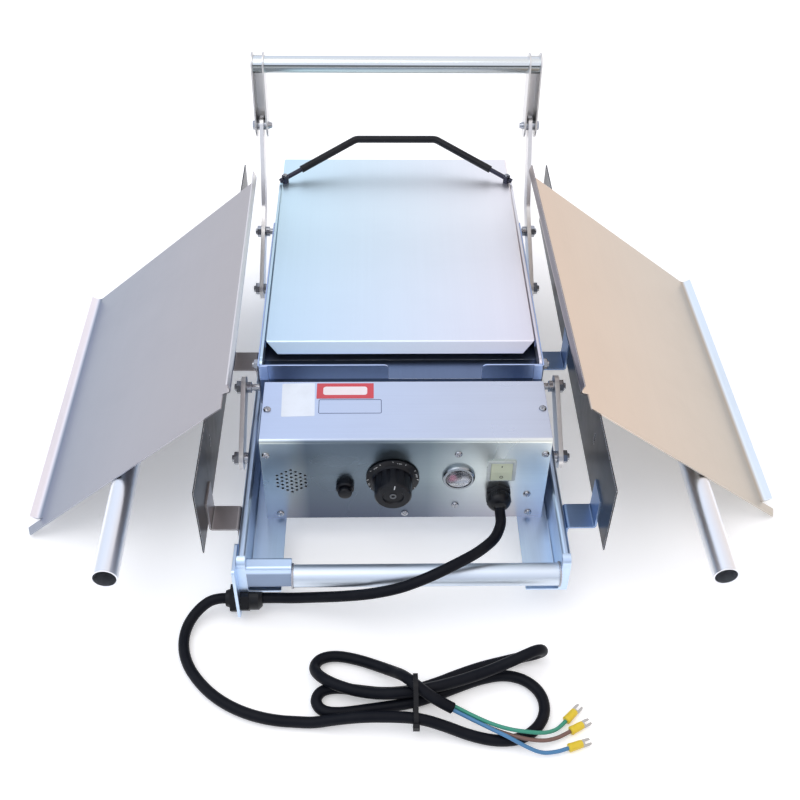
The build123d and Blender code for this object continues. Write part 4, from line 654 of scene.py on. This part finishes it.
flat_label("blank_sticker", (-0.1302, -0.0960), (-0.1738, -0.1245), 0.03, 0.00015,
           moulded("sticker_white", (0.80, 0.86, 0.94), 0.35, dust=0.25, grain=0.05))
flat_label("blank_red_label", (-0.0944, -0.0348), (-0.1475, -0.1248), 0.0, 0.0003,
           moulded("label_red", (0.62, 0.06, 0.08), 0.35, dust=0.25, grain=0.05), corner=0.0006)
flat_label("red_label_field", (-0.0876, -0.0416), (-0.1425, -0.1300), 0.0, 0.00042,
           moulded("label_field", (0.86, 0.78, 0.80), 0.35, dust=0.2, grain=0.05), corner=0.0030)
flat_label("plate_outline", (-0.0918, -0.0266), (-0.1697, -0.1490), 0.0, 0.00012,
           moulded("outline_ink", (0.07, 0.10, 0.20), 0.45, dust=0.2, grain=0.05), corner=0.0018,
           frame_width=0.0007)


# Buzzer, push button and dial: black moulded plastic. The button has a low cap. The dial's skirt is printed
# with a scale of degrees in white, and a white line on the knob points to it.
control_black = moulded("control_plastic", (0.0035, 0.004, 0.007), 0.30, dust=0.06, grain=0.08, shine=0.28)
dress(control_black, "dial_knob", "push_button", "button_collar", "buzzer")
button_low, button_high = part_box("push_button")
button_middle = ((button_low.x + button_high.x) / 2, control_front, (button_low.z + button_high.z) / 2)
cap = turned_about([
    (0.0, 0.0092), (0.0066, 0.0092), (0.0072, 0.0096), (0.0073, 0.0112), (0.0068, 0.0122),
    (0.0055, 0.0127), (0.0, 0.0129)], button_middle, (0, -1, 0), 40, closed=False)
button_cap = smooth(new_piece("button_cap", cap, control_black, "button"))
print_white = moulded("print_white", (0.75, 0.76, 0.76), 0.5, dust=0.4, grain=0.05)
dial_low, dial_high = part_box("dial_knob")
dial_middle = Vector(((dial_low.x + dial_high.x) / 2, control_front, (dial_low.z + dial_high.z) / 2))
dial_print = bmesh.new()


def on_dial(mesh, radius, out, angle, slope):
    """Carry a flat mark from its own plane to a place on the dial, its top away from the middle."""
    lean = Matrix.Rotation(slope, 4, "X")
    upright = Matrix.Rotation(math.pi / 2, 4, "X")
    around = Matrix.Rotation(angle, 4, "Y")
    spot = Matrix.Translation((0, -out, radius))
    bmesh.ops.transform(mesh, matrix=Matrix.Translation(dial_middle) @ around @ spot @ upright @ lean,
                        verts=mesh.verts)


def stroke(wide, long, thick=0.00012):
    """A printed stroke: a thin bar with its top edges eased."""
    mesh = bmesh.new()
    bmesh.ops.create_cube(mesh, size=1.0)
    bmesh.ops.scale(mesh, vec=(wide, long, thick * 2), verts=mesh.verts)
    upper = [e for e in mesh.edges if all(v.co.z > 0 for v in e.verts)]
    ease(mesh, upper, thick * 0.5)
    return mesh


skirt_slope = math.atan2(0.0020, 0.0055)
for number in range(11):
    mark = stroke(0.0007, 0.0018 if number % 2 else 0.0034)
    on_dial(mark, 0.0262 if number % 2 else 0.0254, 0.0031 if number % 2 else 0.0034,
            math.radians(-150 + 30 * number), skirt_slope)
    keep_in(dial_print, mark)
for number, words in enumerate(("50", "100", "150", "200", "250")):
    letters = bpy.data.curves.new("dial_number", "FONT")
    letters.body = words
    letters.size = 0.0036
    letters.align_x = "CENTER"
    letters.align_y = "CENTER"
    letters.extrude = 0.0001
    writer = bpy.data.objects.new("dial_number", letters)
    data = bpy.data.meshes.new_from_object(writer)
    mark = bmesh.new()
    mark.from_mesh(data)
    bpy.data.objects.remove(writer)
    bpy.data.meshes.remove(data)
    on_dial(mark, 0.0249, 0.0036, math.radians(-105 + 60 * number), skirt_slope)
    keep_in(dial_print, mark)
pointer = stroke(0.0010, 0.0056)
on_dial(pointer, 0.0142, 0.0272, math.radians(6), 0)
keep_in(dial_print, pointer)
scale_print = new_piece("dial_print", dial_print, print_white, "dial")
hub_out = 0.0256
hub = turned_about([
    (0.0021, 0), (0.0021, 0.0009), (0.0024, 0.0012), (0.0031, 0.0012), (0.0034, 0.0009),
    (0.0034, 0)], (dial_middle.x, control_front - hub_out, dial_middle.z), (0, -1, 0), 32)
hub_ring = smooth(new_piece("dial_hub_ring", hub, moulded("hub_grey", (0.16, 0.17, 0.18), 0.3), "dial"))


# The signal lamp is a clear ribbed lens in a grey plated bezel, over a dished reflector with a pink neon
# low on its left.
bezel_plate = sheet_metal("bezel_plate", (0.36, 0.39, 0.42), 0.20, "Z", streaks=0.04, soil=0.3, edge=0.2)
lamp_middle = (0.05282, control_front, 0.1013)
bezel = turned_about([
    (0.0, -0.024), (0.0112, -0.024), (0.0115, -0.0236), (0.0115, 0.0), (0.0170, 0.0), (0.0171, 0.0016),
    (0.0167, 0.0030), (0.0158, 0.0043), (0.0147, 0.0049), (0.0137, 0.0047), (0.0132, 0.0036),
    (0.0131, 0.0012), (0.0, 0.0008)], lamp_middle, (0, -1, 0), 64, closed=False)
lamp_bezel = smooth(new_piece("lamp_bezel", bezel, bezel_plate), 45)
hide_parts("lamp_body")


def neon_and_painted_reflection(tree, place):
    """A pink neon low on the left of a grey dish, with a painted reflection on the dish: dark in its upper
    half, with a painted bright arc near its top.
    """
    from_neon = (-0.0462, 0, -0.1005)
    at = step(tree, "Mapping", {"Vector": place, "Location": from_neon, "Scale": (1, 0, 1)})
    far = step(tree, "VectorMath", {0: at.outputs[0]}, operation="LENGTH").outputs["Value"]
    height = step(tree, "SeparateXYZ", {0: place}).outputs["Z"]
    # painted reflection in the dish: light low down, dark in its upper half, with one painted bright arc
    dish = ramp(tree, spread(tree, height, 0.0895, 0.1130, 0, 1), [
        (0.0, (0.70, 0.73, 0.76)), (0.45, (0.50, 0.52, 0.56)), (0.62, (0.07, 0.08, 0.10)),
        (0.80, (0.10, 0.11, 0.13)), (0.84, (0.60, 0.62, 0.64)), (0.92, (0.05, 0.06, 0.08))])
    return mixed(tree, spread(tree, far, 0.0030, 0.0072, 1, 0), dish, (0.34, 0.13, 0.20, 1))


dish = turned_about([
    (0.0126, 0.0034), (0.0121, 0.0036), (0.0090, 0.0022), (0.0045, 0.0014), (0.0030, 0.0014),
    (0.0026, 0.0030), (0.0014, 0.0033), (0.0, 0.0034), (0.0, 0.0010), (0.0126, 0.0012)],
    lamp_middle, (0, -1, 0), 48)
neon_dish = sheet_metal("neon_dish", None, 0.22, "Z", soil=0.2, edge=0.0, colour_from=neon_and_painted_reflection)
lamp_dish = smooth(new_piece("lamp_dish", dish, neon_dish), 45)
ribs = [(0.0, 0.0058), (0.0030, 0.0057), (0.0060, 0.0054)]
ribs += [(0.0068 + 0.0009 * n, 0.0053 - 0.00016 * n - (0.00018 if n % 2 else 0.0)) for n in range(6)]
lens = turned_about(ribs + [(0.0130, 0.0040), (0.0130, 0.0036), (0.0, 0.0038)],
                    lamp_middle, (0, -1, 0), 64, closed=False)
clear, tree, shader = new_material("clear_lens")
shader.inputs["Transmission Weight"].default_value = 1.0
shader.inputs["IOR"].default_value = 1.46
lens_place = step(tree, "TexCoord").outputs["Object"]
smears = placed(tree, hand_marks, {"Place": lens_place, "Size": 120.0, "Amount": 1.0})
tree.links.new(spread(tree, smears["Mask"], 0, 1, 0.03, 0.22), shader.inputs["Roughness"])
smeared = mixed(tree, smears["Mask"], (0.97, 0.97, 0.98, 1), (0.86, 0.85, 0.86, 1))
tree.links.new(smeared, shader.inputs["Base Color"])
lamp_glass = smooth(new_piece("lamp_glass", lens, clear), 30)
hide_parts("lamp_lens")


# The power switch has a pale green key that tips in a clear grey frame, with the usual marks: a line for on
# and a ring for off.
dress(moulded("rocker_frame_clear", (0.52, 0.56, 0.55), 0.25, dust=0.4, grain=0.05), "rocker_frame")
dress(moulded("rocker_green", (0.60, 0.64, 0.47), 0.30, dust=0.3, grain=0.05), "rocker")
key_low, key_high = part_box("rocker")
key_x = (key_low.x + key_high.x) / 2
mark_dark = moulded("mark_dark", (0.05, 0.06, 0.05), 0.5, grain=0.05)
on_place, off_place = (key_x, -0.2112, 0.1176), (key_x, -0.2126, 0.1040)
on_line = stroke(0.0010, 0.0032, 0.00018)
upright = Matrix.Rotation(math.radians(100), 4, "X")
bmesh.ops.transform(on_line, matrix=Matrix.Translation(on_place) @ upright, verts=on_line.verts)
line_mark = new_piece("switch_on_mark", on_line, mark_dark, "rocker")
off_ring = turned_about([(0.0013, 0.0), (0.0013, 0.0002), (0.0019, 0.0002), (0.0019, 0.0)],
                        off_place, (0, -1, 0), 28)
ring_mark = new_piece("switch_off_mark", off_ring, mark_dark, "rocker")


# Cable glands: black nylon. The one on the box has a hexagon against the sheet and a wide ribbed dome nut
# that squeezes a seal round the cord.
gland_nylon = moulded("gland_nylon", (0.004, 0.0045, 0.007), 0.34, dust=0.12, shine=0.28)
dress(gland_nylon, "frame_gland", "frame_gland_nut")


def gland_ribs(name, centre, axis, radius, long, count=18):
    """Short ribs round a gland's nut for the fingers."""
    whole = bmesh.new()
    for number in range(count):
        rib = bmesh.new()
        bmesh.ops.create_cube(rib, size=1.0)
        bmesh.ops.scale(rib, vec=(0.0008, 0.0016, long), verts=rib.verts)
        ease(rib, rib.edges[:], 0.0003, 2)
        around = Matrix.Rotation(2 * math.pi * number / count, 4, "Z") @ Matrix.Translation((radius, 0, 0))
        set_on(rib, centre, axis, around)
        keep_in(whole, rib)
    ring = smooth(new_piece(name, whole, gland_nylon))


gland_low, gland_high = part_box("box_gland")
gland_middle = ((gland_low.x + gland_high.x) / 2, (gland_low.z + gland_high.z) / 2)
gland_spot = (gland_middle[0], control_front, gland_middle[1])
gland_nut = turned_about([
    (0.0, -0.0012), (0.0086, -0.0012), (0.0088, 0.0055), (0.0122, 0.0056), (0.0127, 0.0062), (0.0127, 0.0110),
    (0.0122, 0.0138), (0.0108, 0.0162), (0.0088, 0.0178), (0.0070, 0.0184), (0.0060, 0.0183),
    (0.0057, 0.0172), (0.0, 0.0170)], gland_spot, (0, -1, 0), 48, closed=False)
hexagon_radius = 0.0144
for depth, middle in ((0.0060, 0.0030), (0.0050, -0.0037)):
    ring = bmesh.new()
    bmesh.ops.create_cone(ring, cap_ends=True, segments=6, radius1=hexagon_radius, radius2=hexagon_radius,
                          depth=depth)
    ease(ring, ring.edges[:], 0.0006, 2)
    hexagon_place = Matrix.Translation((gland_spot[0], control_front - middle, gland_spot[2]))
    bmesh.ops.transform(ring, matrix=hexagon_place @ Matrix.Rotation(math.pi / 2, 4, "X"), verts=ring.verts)
    keep_in(gland_nut, ring)
box_gland = smooth(new_piece("box_gland_nut", gland_nut, gland_nylon))
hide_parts("box_gland")
ribs_out, ribs_radius, ribs_long = 0.0095, 0.0126, 0.0060
gland_ribs("box_gland_ribs", (gland_middle[0], control_front - ribs_out, gland_middle[1]), (0, -1, 0),
           ribs_radius, ribs_long)


# Levers, yoke arms, links and the grip: flat bars and channels of stainless steel on turned studs. The grip
# is one length of tube through both yoke arms.
lever_steel = sheet_metal("lever_steel", (0.78, 0.76, 0.75), 0.30, "Z", streaks=0.12)
dress(lever_steel, "lever_left", "lever_right", "front_links")
dress(sheet_metal("yoke_steel", (0.74, 0.73, 0.72), 0.32, "Z", streaks=0.12), "yoke_arms")


def grip_painted_reflection(tree, place):
    """Painted reflection: a bright tube with a painted dark line and a grey band low at the front, for the
    machine it would mirror.
    """
    height = spread(tree, step(tree, "SeparateXYZ", {0: place}).outputs["Z"], 0.2855, 0.3065, 0, 1)
    return ramp(tree, height, [
        (0.0, (0.55, 0.59, 0.60)), (0.48, (0.46, 0.50, 0.50)), (0.60, (0.38, 0.41, 0.42)),
        (0.63, (0.16, 0.17, 0.18)), (0.67, (0.16, 0.17, 0.18)), (0.70, (0.80, 0.84, 0.85)),
        (1.0, (0.76, 0.80, 0.82))])


dress(sheet_metal("grip_steel", None, 0.2, "X", streaks=0.05, soil=0.2, colour_from=grip_painted_reflection), "grip_tube")
dress(bright_plate, "frame_pivots", "tray_pivots", "lid_bolts", "yoke_bolts")


# The heated tray: two side walls and a folded front round two aluminium plates with the element clamped
# between them.
def tray_tone(tree, place):
    """Blue grey, and darker on the low shelf behind the box, which lies in shade."""
    height = step(tree, "SeparateXYZ", {0: place}).outputs["Z"]
    return mixed(tree, spread(tree, height, 0.1291, 0.1298, 0, 1),
                 (0.16, 0.21, 0.33, 1), (0.54, 0.68, 1.0, 1))


dress(sheet_metal("tray_steel", None, 0.30, "Y", colour_from=tray_tone),
      "tray_side_left", "tray_side_right", "tray_front")
# The plates are coloured dark blue grey throughout: painted shade for the shade under the lid.
dress(sheet_metal("plate_aluminium", (0.24, 0.29, 0.42), 0.4, "X", soil=0.6), "lower_platen", "upper_platen")
dress(moulded("element_sheath", (0.1, 0.09, 0.09), 0.6), "heating_element")


# The lid is a shallow pan of brushed sheet with a sloping front, carried by two flat arms. Its handle is a
# bent rod in two bosses, with a black shrunk sleeve, and a bright screw down through each boss.
def lid_painted_reflection(tree, place):
    """Pale steel with a painted reflection: bluer on the left and more neutral on the right, and a little
    darker towards the front.
    """
    parts = step(tree, "SeparateXYZ", {0: place}).outputs
    across = spread(tree, parts["X"], -0.155, 0.145, 0, 1)
    sheet = ramp(tree, across, [
        (0.0, (0.74, 0.93, 1.0)), (0.5, (0.87, 0.96, 1.0)), (1.0, (1.0, 0.97, 0.98))])
    return mixed(tree, spread(tree, parts["Y"], 0.20, -0.04, 0, 1), sheet,
                 mixed(tree, 1.0, sheet, (0.90, 0.90, 0.97, 1), "MULTIPLY"))


lid_steel = sheet_metal("lid_steel", None, 0.36, "Y", streaks=0.03, soil=0.12, edge=0.5, fine=320,
                        bump_strength=0.015, edge_colour=(0.95, 0.97, 1.0), colour_from=lid_painted_reflection)
dress(lid_steel, "lid_pan", "lid_arm_left", "lid_arm_right")
dress(sheet_metal("handle_rod_steel", (0.05, 0.05, 0.07), 0.30, "X", edge=0.2), "lid_handle")
dress(moulded("handle_sleeve_rubber", (0.005, 0.005, 0.008), 0.40, dust=0.1, shine=0.3), "handle_sleeve")
boss_y, boss_top = 0.26996, 0.1600
for side, boss_x in (("left", -0.15128), ("right", 0.14132)):
    cap = turned_about([
        (0.0, 0.0), (0.0030, 0.0), (0.0030, 0.0014), (0.0026, 0.0022), (0.0016, 0.0026),
        (0.0012, 0.0016), (0.0, 0.0014)], (boss_x, boss_y, boss_top), (0, 0, 1), 24, closed=False)
    boss_screw = smooth(new_piece(side + "_boss_screw", cap, bright_plate, "lid"))


# The two loading paddles are thin stainless sheets with a lip down each long side and a tube for a handle.
# Their colour carries a painted reflection, which is warm on the right one.
def paddle_painted_reflection(out_way, depth, low_colour, high_colour, lip_colour, inner_colour):
    """The sheet's painted reflection from the ground up, with painted reflections on the lips that stand up
    from its plane.
    """
    def painted_tone(tree, place):
        height = step(tree, "SeparateXYZ", {0: place}).outputs["Z"]
        # painted reflection: darker low on the sheet, lighter high up
        field = ramp(tree, spread(tree, height, 0.0, 0.21, 0, 1), [(0.05, low_colour), (0.95, high_colour)])
        proud = step(tree, "VectorMath", {0: place, 1: out_way}, operation="DOT_PRODUCT").outputs["Value"]
        # the lips in their own painted reflection colours, outer and inner
        lips = mixed(tree, spread(tree, height, 0.09, 0.12, 0, 1), (*lip_colour, 1), (*inner_colour, 1))
        return mixed(tree, spread(tree, proud, depth + 0.0006, depth + 0.0030, 0, 1), field, lips)
    return painted_tone


left_depth, right_depth = 0.26672, 0.25945
left_paddle_reflection = paddle_painted_reflection((-0.638, 0, 0.77), left_depth, (0.285, 0.315, 0.38), (0.50, 0.475, 0.50),
                        (1.0, 0.96, 1.0), (0.86, 0.80, 0.78))
right_paddle_reflection = paddle_painted_reflection((0.619, 0, 0.786), right_depth, (0.52, 0.47, 0.40), (0.74, 0.61, 0.50),
                         (0.90, 0.96, 1.0), (0.34, 0.29, 0.28))
for side, painted_tone in (("left", left_paddle_reflection), ("right", right_paddle_reflection)):
    dress(sheet_metal("paddle_" + side + "_steel", None, 0.30, "Y", streaks=0.03, soil=0.15, edge=0.9,
                      edge_width=0.0006, colour_from=painted_tone), "paddle_" + side)
dress(sheet_metal("paddle_tube_steel", (0.88, 0.90, 0.94), 0.30, "Y", streaks=0.05, soil=0.3),
      "paddle_tube_left", "paddle_tube_right")
